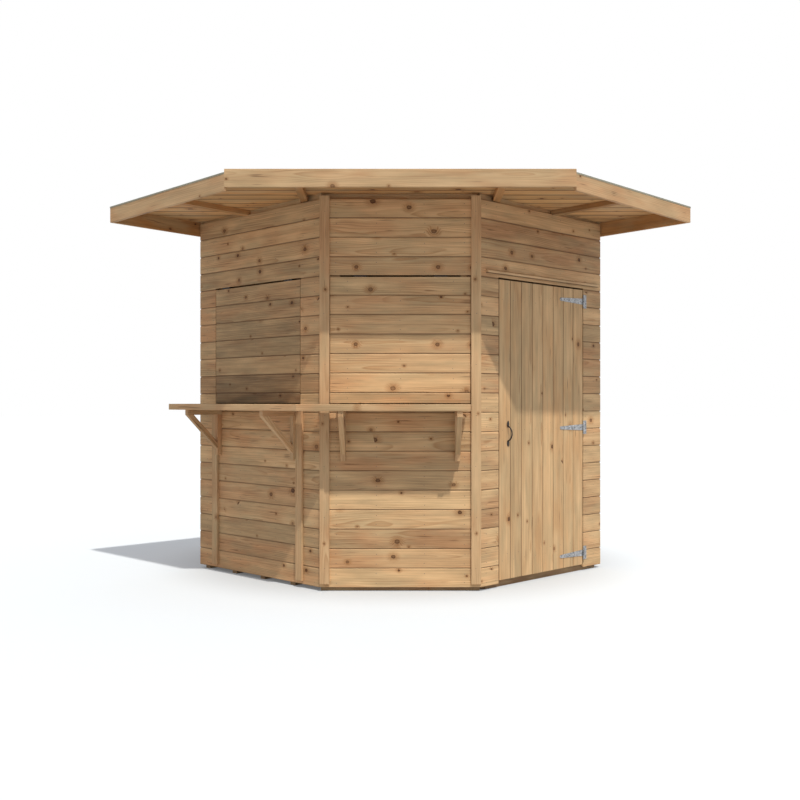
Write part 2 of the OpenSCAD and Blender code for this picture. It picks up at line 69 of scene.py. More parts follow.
@dataclass(frozen=True)
class Plan:
    """Sizes of the building that its sub-assemblies share, in metres."""

    front_w: float = 0.926
    side_w: float = 1.202
    clad_t: float = 0.016
    stud_d: float = 0.044
    stud_w: float = 0.044
    clad_z: float = 0.021
    wall_top: float = 2.247
    head_z: float = 1.813
    floor_z: float = 0.061
    shelf_z: float = 1.072
    shelf_t: float = 0.037
    side_gap: float = 0.005
    leaf_top: float = 1.802
    rail_t: float = 0.020
    board_pitch: float = 0.11165
    trim_w: float = 0.057
    trim_t: float = 0.016
    trim_z: float = 0.041
    hatch_lap: float = 0.056
    lap_gap: float = 0.0005
    front_hatch_u: float = 0.121
    front_hatch_w: float = 0.684
    left_hatch_u: float = 0.177
    left_hatch_w: float = 0.846
    door_u: float = 0.162
    door_w: float = 0.842
    door_z: float = 0.041
    door_boards: int = 8
    drip_h: float = 0.023
    over_front: float = 0.425
    over_side: float = 0.638
    over_back: float = 0.030
    roof_z: float = 2.287
    roof_fall: float = math.radians(1.72)
    deck_t: float = 0.008
    felt_t: float = 0.0015
    fascia_t: float = 0.020

    @property
    def wall_t(self) -> float:
        """Cladding and framing together."""
        return self.clad_t + self.stud_d

    @property
    def half_front(self) -> float:
        """Half of the front wall's length."""
        return self.front_w / 2

    @property
    def back_y(self) -> float:
        """Distance from the front wall to the corner where the back walls meet."""
        return self.half_front + self.side_w / DIAGONAL

    @property
    def back_w(self) -> float:
        """Length of a back wall."""
        return self.side_w + self.half_front / DIAGONAL

    @property
    def mid_y(self) -> float:
        """Distance from the front wall to the middle of the roof, which is the origin."""
        return (self.back_y + self.over_back / DIAGONAL - self.over_front) / 2

    @property
    def side_face(self) -> float:
        """Overhang of the side fascias' faces, inside the felt's turned edge."""
        return self.over_side - self.felt_t

    @property
    def back_face(self) -> float:
        """Overhang of the back fascias' faces, inside the felt's turned edge."""
        return self.over_back - self.felt_t

    @property
    def shelf_base(self) -> float:
        """Height of the shelf's underside, where the hatches' openings start."""
        return self.shelf_z - self.shelf_t

    @property
    def back_top(self) -> float:
        """Height of the frames of the back walls under their top plates."""
        return self.wall_top - self.back_y * math.tan(self.roof_fall)

    def underside(self, y: float) -> float:
        """Height of the roof's underside at a distance y behind the front wall."""
        return self.roof_z - y * math.tan(self.roof_fall)

    def outline(self, front: float, side: float, back: float) -> list[Vector]:
        """The five corners of the building's plan, moved outwards by a distance on each kind of side.

        Args:
            front: How far the front side moves out.
            side: How far the left and right sides move out.
            back: How far the two back sides move out.

        Returns:
            The corners, from the front left one on round past the front right one.
        """
        front_x = self.half_front + side / DIAGONAL - front
        side_x = (self.half_front + self.back_y + (side + back) / DIAGONAL) / 2
        side_y = (self.back_y - self.half_front + (back - side) / DIAGONAL) / 2
        corners = [(-front_x, -front), (front_x, -front), (side_x, side_y)]
        corners += [(0.0, self.back_y + back / DIAGONAL), (-side_x, side_y)]
        return [Vector((x, y, 0.0)) for x, y in corners]


PLAN = Plan()


class Face(Enum):
    """A side of the building with its own frame: along it, into the building, and up."""

    PLAN = "plan"
    FRONT = "front"
    FRONT_FROM_RIGHT = "front_from_right"
    LEFT = "left"
    RIGHT = "right"
    BACK_LEFT = "back_left"
    BACK_RIGHT = "back_right"

    def matrix(self) -> Matrix:
        """The frame of this side.

        Returns:
            The matrix from this side's own coordinates to the world's.
        """
        half, reach, d = PLAN.half_front, PLAN.side_w * DIAGONAL, DIAGONAL
        origin, along, inward = {
            Face.PLAN: ((0, 0), (1, 0), (0, 1)),
            Face.FRONT: ((-half, 0), (1, 0), (0, 1)),
            Face.FRONT_FROM_RIGHT: ((half, 0), (-1, 0), (0, 1)),
            Face.LEFT: ((-half, 0), (-d, d), (d, d)),
            Face.RIGHT: ((half, 0), (d, d), (-d, d)),
            Face.BACK_LEFT: ((-half - reach, reach), (d, d), (d, -d)),
            Face.BACK_RIGHT: ((half + reach, reach), (-d, d), (-d, -d)),
        }[self]
        return Matrix(
            (
                (along[0], inward[0], 0, origin[0]),
                (along[1], inward[1], 0, origin[1] - PLAN.mid_y),
                (0, 0, 1, 0),
                (0, 0, 0, 1),
            )
        )


@dataclass(frozen=True)
class Cut:
    """A saw cut: what lies on the side that the normal points to is taken away."""

    point: Vector
    normal: Vector

    def seen_from(self, face: Face) -> "Cut":
        """The same cut, given in plan coordinates, in a face's own frame."""
        turn = face.matrix().inverted() @ Face.PLAN.matrix()
        return Cut(turn @ self.point, turn.to_3x3() @ self.normal)


def cut_at(axis: int, value: float, keep_below: bool) -> Cut:
    """A cut square to one of a face's axes.

    Args:
        axis: 0 along the face, 1 into the building, 2 up.
        value: Where the cut is on that axis.
        keep_below: True keeps what lies below the value, False what lies above.

    Returns:
        The cut.
    """
    point, normal = Vector((0, 0, 0)), Vector((0, 0, 0))
    point[axis] = value
    normal[axis] = 1 if keep_below else -1
    return Cut(point, normal)


def mitered_ends(u0: float, u1: float, miter0: float, miter1: float) -> list[Cut]:
    """Cuts for the two ends of a board on a wall.

    Args:
        u0: Where the board starts on the face's outer plane.
        u1: Where it ends there.
        miter0: How much later it starts for each metre into the building.
        miter1: How much sooner it ends for each metre into the building.

    Returns:
        The two cuts.
    """
    return [
        Cut(Vector((u0, 0, 0)), Vector((-1, miter0, 0))),
        Cut(Vector((u1, 0, 0)), Vector((1, miter1, 0))),
    ]


def plan_cuts(corners: Sequence[Vector]) -> list[Cut]:
    """Upright cuts along the sides of a convex plan.

    Args:
        corners: The plan's corners, counter-clockwise from above.

    Returns:
        One cut for each side.
    """
    following = [*corners[1:], corners[0]]
    sides = [(a, b - a) for a, b in zip(corners, following)]
    return [Cut(a, Vector((side.y, -side.x, 0))) for a, side in sides]


def roof_plane(height: float, keep_below: bool = True) -> Cut:
    """A cut along the slope of the roof, in plan coordinates.

    Args:
        height: Height above the roof's underside, square to it.
        keep_below: True keeps what lies below.

    Returns:
        The cut.
    """
    normal = Vector((0, math.sin(PLAN.roof_fall), math.cos(PLAN.roof_fall)))
    point = Vector((0, 0, PLAN.roof_z)) + normal * height
    return Cut(point, normal if keep_below else -normal)


def axes(origin: Sequence[float], x: Sequence[float], y: Sequence[float], z: Sequence[float]) -> Matrix:
    """A board's frame from its origin and its three directions.

    Args:
        origin: Where the board starts.
        x: Direction along the board.
        y: Direction through its thickness.
        z: Direction across its width.

    Returns:
        The matrix from the board's coordinates to those of its face.
    """
    columns = [Vector(a).normalized() for a in (x, y, z)]
    rotation = Matrix(columns).transposed().to_4x4()
    return Matrix.Translation(Vector(origin)) @ rotation


def lying(u: float, v: float, z: float) -> Matrix:
    """The frame of a board that runs along a wall, its face upright."""
    return axes((u, v, z), (1, 0, 0), (0, 1, 0), (0, 0, 1))


def standing(u: float, v: float, z: float) -> Matrix:
    """The frame of a board that stands upright on a wall."""
    return axes((u, v, z), (0, 0, 1), (0, 1, 0), (1, 0, 0))


def along_roof(x: float, y: float, direction: Sequence[float], on_edge: bool) -> Matrix:
    """The frame of a timber that lies in the slope of the roof, under or on its underside.

    Args:
        x: Where it starts, from the middle of the building.
        y: Where it starts, behind the front wall.
        direction: Its direction in plan.
        on_edge: True stands it on its edge, False lays it flat with its outer face down.

    Returns:
        The board's frame in plan coordinates.
    """
    up = roof_plane(0).normal
    run = Vector((direction[0], direction[1], -direction[1] * math.tan(PLAN.roof_fall)))
    across = up.cross(run)
    origin = (x, y, PLAN.underside(y))
    return axes(origin, run, across, up) if on_edge else axes(origin, run, up, across)


# ---- Cross-sections ----


Section = list[Pair]


def eased(y0: float, y1: float, z0: float, z1: float, ease: float = 1.5 * MM, steps: int = 2) -> Section:
    """A planed timber's section, with its four edges rounded.

    Args:
        y0: Where its thickness starts.
        y1: Where its thickness ends.
        z0: Where its width starts.
        z1: Where its width ends.
        ease: Radius of the edges.
        steps: Flats in each rounded edge.

    Returns:
        The points of the section.
    """
    middles = [(y0 + ease, z0 + ease, 180), (y1 - ease, z0 + ease, 270)]
    middles += [(y1 - ease, z1 - ease, 0), (y0 + ease, z1 - ease, 90)]
    points = []
    for y, z, start in middles:
        for i in range(steps + 1):
            angle = math.radians(start + 90 * i / steps)
            points.append((y + ease * math.cos(angle), z + ease * math.sin(angle)))
    return points


def shiplap(pitch: float, thick: float) -> Section:
    """A shiplap board's section, outer face at 0: a cove at the top, a lip behind it and a rebate below.

    Args:
        pitch: Height that each board covers.
        thick: Thickness of the board.

    Returns:
        The points of the section.
    """
    lip, lap, back, arris, shy = 7.6 * MM, 5.0 * MM, 0.2 * MM, 0.9 * MM, 0.3 * MM
    points = [(arris, 0.0), (0.0, arris)]
    points += [(depth * MM, pitch - down * MM) for depth, down in COVE]
    points += [(lip + back, pitch - shy), (lip + back, pitch + lap), (thick, pitch + lap)]
    points += [(thick, lap + back), (lip, lap + back), (lip, 0.0)]
    return points


def v_board(pitch: float, thick: float, chamfer: float = 3.4 * MM) -> Section:
    """A matchboard's section, with a chamfer on both edges of its outer face at 0.

    Args:
        pitch: Width of the board.
        thick: Thickness of the board.
        chamfer: Size of the chamfers.

    Returns:
        The points of the section.
    """
    gap = 0.15 * MM
    return [
        (0.0, chamfer),
        (0.0, pitch - chamfer),
        (chamfer, pitch - gap),
        (thick, pitch - gap),
        (thick, gap),
        (chamfer, gap),
    ]


# ---- Boards and fixings ----


@dataclass(frozen=True)
class Growth:
    """What tells one board's timber from the next one's."""

    offset: float
    brightness: float
    warmth: float
    pith: float


class Timbers:
    """The boards of one piece, collected into one mesh."""

    def __init__(self, name: str) -> None:
        """Starts a piece that has no boards yet.

        Args:
            name: Name of the piece, which also seeds its boards' timber.
        """
        self.name = name
        self.rng = random.Random(f"timber of {name}")
        self.mesh = bmesh.new()
        self.grain = self.mesh.verts.layers.float_vector.new(GRAIN)
        self.tone = self.mesh.verts.layers.float_vector.new(TONE)

    def growth(self) -> Growth:
        """Draws the timber of one board."""
        draw = self.rng
        return Growth(draw.uniform(-STOCK, STOCK), draw.random(), draw.random(), draw.random())

    def board(
        self,
        face: Face,
        place: Matrix,
        length: float,
        section: Section,
        cuts: Sequence[Cut] = (),
        growth: Growth | None = None,
    ) -> None:
        """Adds one board.

        Args:
            face: The side of the building whose frame the board is placed in.
            place: The board's own frame there: along, thickness, width.
            length: Length of the board before its cuts.
            section: Its cross-section, thickness and width.
            cuts: Cuts in the frame of the face.
            growth: The board's timber; a new one is drawn if this is left out.
        """
        timber = growth or self.growth()
        part = bmesh.new()
        ends = [[part.verts.new((x, y, z)) for y, z in section] for x in (0.0, length)]
        part.faces.new(ends[0])
        part.faces.new(ends[1])
        for i in range(len(section)):
            j = (i + 1) % len(section)
            part.faces.new((ends[0][i], ends[0][j], ends[1][j], ends[1][i]))
        part.transform(place)
        for cut in cuts:
            everything = part.verts[:] + part.edges[:] + part.faces[:]
            bmesh.ops.bisect_plane(
                part, geom=everything, plane_co=cut.point, plane_no=cut.normal, clear_outer=True, dist=1e-6
            )
            rim = [e for e in part.edges if e.is_boundary]
            if rim:
                bmesh.ops.edgeloop_fill(part, edges=rim)
        if part.faces:
            bmesh.ops.recalc_face_normals(part, faces=part.faces[:])
            self.take_in(part, face.matrix(), place.inverted(), timber)
        part.free()

    def take_in(self, part: bmesh.types.BMesh, world: Matrix, local: Matrix, timber: Growth) -> None:
        """Copies a finished board into the piece's mesh.

        Args:
            part: The board in the frame of its face.
            world: From that frame to the world.
            local: From that frame to the board's own.
            timber: The board's timber.
        """
        mirrored = world.determinant() < 0
        copies = {}
        for old in part.verts:
            new = self.mesh.verts.new(world @ old.co)
            here = local @ old.co
            new[self.grain] = (here.x + timber.offset, here.y, here.z)
            new[self.tone] = (timber.brightness, timber.warmth, timber.pith)
            copies[old] = new
        for old_face in part.faces:
            corners = [copies[v] for v in old_face.verts]
            self.mesh.faces.new(reversed(corners) if mirrored else corners)

    def piece(
        self, material: bpy.types.Material, slot: str, body: str, replaced: Sequence[str] = ()
    ) -> bpy.types.Object:
        """Ends the piece and makes it ride on its body.

        Args:
            material: Its finish.
            slot: Not used.
            body: The body that it moves with.
            replaced: The CAD nodes that it stands for.

        Returns:
            The new object.
        """
        return finished_piece(self.mesh, self.name, material, body, replaced)


def finished_piece(
    mesh: bmesh.types.BMesh,
    name: str,
    material: bpy.types.Material,
    body: str,
    replaced: Sequence[str] = (),
) -> bpy.types.Object:
    """Turns a mesh in the making into a piece of the object.

    Args:
        mesh: The mesh, which is freed.
        name: Name of the piece.
        material: Its finish.
        body: The body that it moves with.
        replaced: The CAD nodes that it stands for.

    Returns:
        The new object.
    """
    data = bpy.data.meshes.new(name)
    mesh.to_mesh(data)
    mesh.free()
    data.materials.append(material)
    made = bpy.data.objects.new(name, data)
    bpy.context.scene.collection.objects.link(made)
    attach(made, body)
    if replaced:
        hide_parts(*replaced)
    log.info("%s: %d faces on %s", name, len(data.polygons), body)
    return made


class Head(Enum):
    """The kinds of fixing whose heads show: sides, and rings as shares of the radius out and up."""

    NAIL = (8, ((1.0, -0.25), (0.92, 0.06), (0.55, 0.16)))
    SCREW = (16, ((1.0, -0.2), (0.94, 0.1), (0.7, 0.2), (0.5, 0.2), (0.42, -0.12)))


class Fixings:
    """The heads of the nails or screws of one piece, collected into one mesh."""

    def __init__(self, name: str) -> None:
        """Starts a piece that has no heads yet.

        Args:
            name: Name of the piece.
        """
        self.name = name
        self.rng = random.Random(f"fixings of {name}")
        self.mesh = bmesh.new()

    def stray(self, most: float = NAIL_STRAY) -> float:
        """Draws how far a fixing is off its place."""
        return self.rng.uniform(-most, most)

    def head(self, face: Face, place: Vector, outward: Vector, radius: float, kind: Head) -> None:
        """Adds one head.

        Args:
            face: The side of the building whose frame the head is placed in.
            place: The point of the surface under the middle of the head.
            outward: The direction in which the surface looks.
            radius: Radius of the head.
            kind: Nail or screw.
        """
        sides, rings = kind.value
        cross_ring, cross_w = 3, 0.36
        matrix = face.matrix() @ Matrix.Translation(place)
        matrix = matrix @ outward.to_track_quat("Z", "Y").to_matrix().to_4x4()
        spin = self.rng.uniform(0, math.tau)
        loops = []
        for index, (share, height) in enumerate(rings):
            loop = []
            for i in range(sides):
                angle = spin + math.tau * i / sides
                pinch = cross_w if index >= cross_ring and i % 4 else 1.0
                reach = radius * share * pinch
                local = Vector((reach * math.cos(angle), reach * math.sin(angle), radius * height))
                loop.append(self.mesh.verts.new(matrix @ local))
            loops.append(loop)
        faces = [self.mesh.faces.new(loops[-1])]
        for low, high in zip(loops, loops[1:]):
            for i in range(sides):
                j = (i + 1) % sides
                faces.append(self.mesh.faces.new((low[i], low[j], high[j], high[i])))
        if matrix.determinant() < 0:
            bmesh.ops.reverse_faces(self.mesh, faces=faces)

    def piece(self, material: bpy.types.Material, slot: str, body: str) -> bpy.types.Object:
        """Ends the piece and makes it ride on its body."""
        return finished_piece(self.mesh, self.name, material, body)


# ---- Shader nodes ----


def srgb(red: int, green: int, blue: int) -> tuple[float, float, float, float]:
    """Makes a colour for a shader.

    Args:
        red: Its red on a screen, 0 to 255.
        green: Its green.
        blue: Its blue.

    Returns:
        The linear colour.
    """
    shares = [c / 255 for c in (red, green, blue)]
    linear = [s / 12.92 if s <= 0.04045 else ((s + 0.055) / 1.055) ** 2.4 for s in shares]
    return (linear[0], linear[1], linear[2], 1.0)


class NodeBench:
    """Adds nodes to one shader tree and links them as it goes."""

    def __init__(self, tree: bpy.types.NodeTree) -> None:
        """Takes over a tree."""
        self.tree = tree

    def add(self, kind: str, inputs: dict | None = None, **settings: object) -> bpy.types.Node:
        """Adds a node.

        Args:
            kind: The node's type.
            inputs: For each input's name or number, a socket to link or a value to set.
            **settings: Properties of the node.

        Returns:
            The node.
        """
        node = self.tree.nodes.new(kind)
        for key, value in settings.items():
            setattr(node, key, value)
        for key, value in (inputs or {}).items():
            if isinstance(value, bpy.types.NodeSocket):
                self.tree.links.new(value, node.inputs[key])
            else:
                node.inputs[key].default_value = value
        return node

    def math(self, operation: str, *values: object, clamp: bool = False) -> bpy.types.NodeSocket:
        """The result of a Math node on up to three sockets or numbers."""
        inputs = dict(enumerate(values))
        return self.add("ShaderNodeMath", inputs, operation=operation, use_clamp=clamp).outputs[0]

    def plus(self, first: object, second: object) -> bpy.types.NodeSocket:
        """The sum of two sockets or numbers."""
        return self.math("ADD", first, second)

    def times(self, first: object, second: object) -> bpy.types.NodeSocket:
        """The product of two sockets or numbers."""
        return self.math("MULTIPLY", first, second)

    def parts(self, vector: object) -> bpy.types.bpy_prop_collection:
        """The three parts of a vector."""
        return self.add("ShaderNodeSeparateXYZ", {0: vector}).outputs

    def grey(self, level: object) -> bpy.types.NodeSocket:
        """A grey of a given level."""
        return self.add("ShaderNodeCombineColor", {0: level, 1: level, 2: level}).outputs[0]

    def bump(self, height: object, strength: float) -> bpy.types.NodeSocket:
        """A normal from a height in millimetres."""
        inputs = {"Height": height, "Strength": strength, "Distance": MM}
        return self.add("ShaderNodeBump", inputs).outputs["Normal"]

    def stretch(self, vector: object, scale: Sequence[float]) -> bpy.types.NodeSocket:
        """A vector multiplied by a scale on each axis."""
        node = self.add("ShaderNodeVectorMath", {0: vector, 1: tuple(scale)}, operation="MULTIPLY")
        return node.outputs[0]

    def noise(self, vector: object, scale: Sequence[float], detail: float = 2.0) -> bpy.types.NodeSocket:
        """Noise between 0 and 1 that is stretched differently on each axis."""
        inputs = {"Vector": self.stretch(vector, scale), "Scale": 1.0, "Detail": detail}
        return self.add("ShaderNodeTexNoise", inputs).outputs["Fac"]

    def ramp(
        self, value: object, low: float, high: float, to_low: float = 0.0, to_high: float = 1.0
    ) -> bpy.types.NodeSocket:
        """A value mapped smoothly from one range to another, and held at its ends.

        Args:
            value: The socket to map.
            low: Where the first range starts.
            high: Where it ends.
            to_low: The result at its start.
            to_high: The result at its end.

        Returns:
            The mapped value.
        """
        inputs = {0: value, 1: low, 2: high, 3: to_low, 4: to_high}
        node = self.add("ShaderNodeMapRange", inputs, interpolation_type="SMOOTHSTEP", clamp=True)
        return node.outputs[0]

    def mix(self, share: object, first: object, second: object, blend: str = "MIX") -> bpy.types.NodeSocket:
        """Blends two colours.

        Args:
            share: How much of the second colour there is.
            first: The first colour.
            second: The second colour.
            blend: How they are blended.

        Returns:
            The blended colour.
        """
        inputs = {0: share, 6: first, 7: second}
        node = self.add("ShaderNodeMix", inputs, data_type="RGBA", blend_type=blend, clamp_factor=True)
        return node.outputs[2]

    def attribute(self, name: str) -> bpy.types.NodeSocket:
        """A vector that is stored on the mesh."""
        return self.add("ShaderNodeAttribute", attribute_name=name).outputs["Vector"]


def new_group(name: str, values: dict[str, float], colours: Sequence[str], outputs: dict[str, str]) -> tuple:
    """Starts a shader node group with named inputs and outputs.

    Args:
        name: Name of the group.
        values: Its number inputs with their defaults.
        colours: Its colour inputs.
        outputs: Its outputs with their socket types.

    Returns:
        The group's tree, a bench on it, its input sockets by name, and its output node.
    """
    tree = bpy.data.node_groups.new(name, "ShaderNodeTree")
    for key, value in values.items():
        tree.interface.new_socket(key, in_out="INPUT", socket_type="NodeSocketFloat").default_value = value
    for key in colours:
        tree.interface.new_socket(key, in_out="INPUT", socket_type="NodeSocketColor")
    for key, kind in outputs.items():
        tree.interface.new_socket(key, in_out="OUTPUT", socket_type=kind)
    bench = NodeBench(tree)
    return tree, bench, bench.add("NodeGroupInput").outputs, bench.add("NodeGroupOutput")


COLOUR, VALUE = "NodeSocketColor", "NodeSocketFloat"


@dataclass(frozen=True)
class KnotMasks:
    """Where the knots of a board are."""

    core: bpy.types.NodeSocket
    bark: bpy.types.NodeSocket
    halo: bpy.types.NodeSocket
    depth: bpy.types.NodeSocket


@dataclass(frozen=True)
class TimberLook:
    """The look of sawn softwood: growth rings, fibres, knots, stains, the tone of each board, and painted
    shade along its edges.

    Scales are along, through and across a board, in cells or waves for each metre.
    """

    knot_cells: Triple = (4.4, 1.1, 8.5)
    knot_narrow: float = 0.8
    knot_least: float = 0.0042
    knot_more: float = 0.0095
    knot_rarity: float = 2.2
    knot_ragged: float = 0.006
    ragged_scale: Triple = (70, 70, 90)
    pith_behind: Pair = (0.07, 0.012)
    pith_beside: Pair = (0.18, -0.04)
    sway_scale: Triple = (1.3, 5, 5)
    sway: float = 0.05
    wander_scale: Triple = (4.5, 16, 22)
    wander: float = 0.009
    knot_push: float = 0.016
    late_sharpness: float = 1.8
    fade_scale: Triple = (2.1, 9, 12)
    fibre_scale: Triple = (9, 430, 430)
    streak_scale: Triple = (1.5, 80, 120)
    cloud_scale: Triple = (3.6, 18, 26)
    stain_scale: Triple = (2.3, 6, 9)
    cool_scale: Triple = (3.1, 8, 12.5)
    resin_scale: Triple = (6.5, 90, 115)
    aside: Triple = (7.3, 1.9, 4.1)
    knot_core: Pair = (0.7, 1.2)
    knot_bark: Pair = (0.5, 0.85)
    knot_halo: Pair = (0.8, 3.8)
    knot_shade: Pair = (0.5, 0.38)
    late_end: float = 0.88
    fade: tuple[float, float, float, float] = (0.36, 0.62, 0.25, 1.0)
    resin_from: Pair = (0.68, 0.8)
    resin_where: Pair = (0.46, 0.6)
    warm_from: Pair = (0.42, 0.66)
    cool_from: Pair = (0.44, 0.66)
    board_warmth: float = 0.6
    halo_shade: float = 0.55
    resin_shade: float = 0.55
    bark_shade: float = 0.4
    joint_full: float = 0.8
    fibre_level: Pair = (0.14, 0.93)
    fibre_rough: Pair = (0.16, 0.62)
    late_rough: float = -0.1
    fibre_height: float = 0.22
    late_height: float = 0.12
    knot_height: float = 0.25

    def group(self) -> bpy.types.NodeTree:
        """Makes the node group.

        Returns:
            The group, with a colour, a roughness, and a height in millimetres.
        """
        values = {"Ring spacing": 0.005, "Ring strength": 0.5, "Knots": 0.5, "Stain": 0.5}
        values |= {"Board contrast": 0.5, "Streaks": 0.5}
        values |= {"Board width": 0.1, "Joint shade": 0.5, "Joint reach": 0.004}
        colours = ("Pale", "Warm", "Cool", "Latewood", "Knot")
        outputs = {"Colour": COLOUR, "Roughness": VALUE, "Height": VALUE}
        tree, bench, given, result = new_group("timber", values, colours, outputs)
        grain = bench.attribute(GRAIN)
        here, tone = bench.parts(grain), bench.parts(bench.attribute(TONE))
        brightness, warmth, pith = tone[0], tone[1], tone[2]

        knots = self.knots(bench, grain, given["Knots"])
        middle = bench.math("MULTIPLY_ADD", pith, *self.pith_behind)
        behind = bench.plus(here[1], middle)
        middle = bench.math("MULTIPLY_ADD", warmth, *self.pith_beside)
        beside = bench.math("SUBTRACT", here[2], middle)
        rings = self.rings(bench, grain, (behind, beside), knots.halo, given["Ring spacing"])
        late = bench.times(rings, given["Ring strength"])
        fibres = bench.noise(grain, self.fibre_scale, 2.0)
        colour, resin = self.stained(bench, grain, warmth, given)
        darker = bench.math("MULTIPLY_ADD", knots.halo, self.halo_shade, late, clamp=True)
        colour = bench.mix(darker, colour, given["Latewood"])
        colour = bench.mix(bench.times(resin, self.resin_shade), colour, given["Knot"])
        depth = bench.math("MULTIPLY_ADD", knots.bark, self.bark_shade, knots.depth)
        inside = bench.times(knots.core, depth)
        colour = bench.mix(inside, colour, given["Knot"])

        level = self.streaked(bench, grain, given["Streaks"])
        level = bench.plus(level, bench.math("MULTIPLY_ADD", fibres, *self.fibre_level))
        apart = bench.math("SUBTRACT", brightness, 0.5)
        level = bench.plus(level, bench.times(apart, given["Board contrast"]))
        colour = bench.mix(1.0, colour, bench.grey(level), "MULTIPLY")
        # painted shade along both edges of the board, mixed towards the knot colour
        colour = bench.mix(self.joint(bench, here[2], given), colour, given["Knot"])

        rough = bench.math("MULTIPLY_ADD", fibres, *self.fibre_rough)
        rough = bench.plus(rough, bench.times(late, self.late_rough))
        height = bench.plus(bench.times(fibres, self.fibre_height), bench.times(late, self.late_height))
        height = bench.plus(height, bench.times(knots.core, self.knot_height))
        for key, value in (("Colour", colour), ("Roughness", rough), ("Height", height)):
            tree.links.new(value, result.inputs[key])
        return tree

    def knots(self, bench: NodeBench, grain: object, amount: object) -> KnotMasks:
        """Makes the knots: one in a part of the cells, each a branch that runs through the board's thickness.

        Args:
            bench: The group's bench.
            grain: The place in the board.
            amount: The share of the cells that have a knot.

        Returns:
            The knots' masks.
        """
        cell = self.knot_cells
        place = bench.stretch(grain, cell)
        inputs = {"Vector": place, "Scale": 1.0, "Randomness": 0.9}
        cells = bench.add("ShaderNodeTexVoronoi", inputs, voronoi_dimensions="3D").outputs
        inputs = {0: place, 1: cells["Position"]}
        apart = bench.add("ShaderNodeVectorMath", inputs, operation="SUBTRACT").outputs[0]
        apart = bench.stretch(apart, (self.knot_narrow / cell[0], 0.0, 1 / cell[2]))
        distance = bench.add("ShaderNodeVectorMath", {0: apart}, operation="LENGTH").outputs["Value"]
        chance = bench.add("ShaderNodeSeparateColor", {0: cells["Color"]}).outputs
        uneven = bench.noise(grain, self.ragged_scale, 1.0)
        ragged = bench.math("MULTIPLY_ADD", uneven, self.knot_ragged, -self.knot_ragged / 2)
        size = bench.math("POWER", chance[0], self.knot_rarity)
        radius = bench.math("MULTIPLY_ADD", size, self.knot_more, self.knot_least)
        there = bench.math("LESS_THAN", chance[1], amount)
        share = bench.math("DIVIDE", bench.plus(distance, ragged), radius)
        core = bench.times(bench.ramp(share, *self.knot_core, 1.0, 0.0), there)
        bark = bench.times(bench.ramp(share, *self.knot_bark), core)
        halo = bench.times(bench.ramp(share, *self.knot_halo, 1.0, 0.0), there)
        return KnotMasks(core, bark, halo, bench.math("MULTIPLY_ADD", chance[2], *self.knot_shade))

    def rings(
        self, bench: NodeBench, grain: object, pith: tuple[object, object], halo: object, spacing: object
    ) -> bpy.types.NodeSocket:
        """Makes the growth rings round a pith that lies behind the board, pushed aside by the knots.

        Args:
            bench: The group's bench.
            grain: The place in the board.
            pith: Distances from the pith, through and across the board.
            halo: The mask round the knots.
            spacing: Distance from ring to ring.

        Returns:
            The mask of the latewood, which fades in and out along the board.
        """
        squares = bench.plus(bench.math("POWER", pith[0], 2.0), bench.math("POWER", pith[1], 2.0))
        sway = bench.times(bench.noise(grain, self.sway_scale, 1.0), self.sway)
        wander = bench.times(bench.noise(grain, self.wander_scale, 1.0), self.wander)
        pushed = bench.times(bench.math("POWER", halo, 2.0), self.knot_push)
        ring = bench.plus(bench.plus(bench.math("SQRT", squares), sway), bench.plus(wander, pushed))
        turn = bench.math("FRACT", bench.math("DIVIDE", ring, spacing))
        late = bench.math("POWER", turn, self.late_sharpness)
        late = bench.times(late, bench.ramp(turn, self.late_end, 1.0, 1.0, 0.0))
        fade = bench.ramp(bench.noise(grain, self.fade_scale, 1.0), *self.fade)
        return bench.times(late, fade)

    def stained(
        self, bench: NodeBench, grain: object, warmth: object, given: object
    ) -> tuple[bpy.types.NodeSocket, bpy.types.NodeSocket]:
        """Makes the wood's own colour, with its warm and cool stains, and the thin dark lines of resin.

        Args:
            bench: The group's bench.
            grain: The place in the board.
            warmth: How warm the board is.
            given: The group's inputs.

        Returns:
            The colour, and the mask of the resin.
        """
        stain = bench.noise(grain, self.stain_scale, 2.0)
        aside = bench.add("ShaderNodeVectorMath", {0: grain, 1: self.aside}).outputs[0]
        cool = bench.noise(aside, self.cool_scale, 2.0)
        resin = bench.ramp(bench.noise(aside, self.resin_scale, 0.0), *self.resin_from)
        resin = bench.times(resin, bench.ramp(stain, *self.resin_where))
        warm = bench.times(bench.ramp(stain, *self.warm_from), given["Stain"])
        warm = bench.math("MULTIPLY_ADD", warmth, self.board_warmth, warm)
        colour = bench.mix(warm, given["Pale"], given["Warm"])
        grown = bench.times(bench.ramp(cool, *self.cool_from), given["Stain"])
        return bench.mix(grown, colour, given["Cool"]), resin

    def streaked(self, bench: NodeBench, grain: object, contrast: object) -> bpy.types.NodeSocket:
        """Makes the streaks and the wider clouds.

        Args:
            bench: The group's bench.
            grain: The place in the board.
            contrast: How strong they are.

        Returns:
            How much lighter or darker the wood is.
        """
        streaks = bench.noise(grain, self.streak_scale, 3.0)
        clouds = bench.noise(grain, self.cloud_scale, 3.0)
        level = bench.times(bench.math("SUBTRACT", streaks, 0.5), contrast)
        return bench.plus(level, bench.times(bench.math("SUBTRACT", clouds, 0.5), contrast))

    def joint(self, bench: NodeBench, across: object, given: object) -> bpy.types.NodeSocket:
        """Makes the painted shade along both edges of a board, where the joints between boards lie in shade.

        Args:
            bench: The group's bench.
            across: The place across the board.
            given: The group's inputs.

        Returns:
            The mask of the dirt.
        """
        from_joint = bench.math("PINGPONG", across, bench.times(given["Board width"], 0.5))
        near = bench.math("SUBTRACT", 1.0, bench.math("DIVIDE", from_joint, given["Joint reach"]), clamp=True)
        return bench.times(bench.ramp(near, 0.0, self.joint_full), given["Joint shade"])


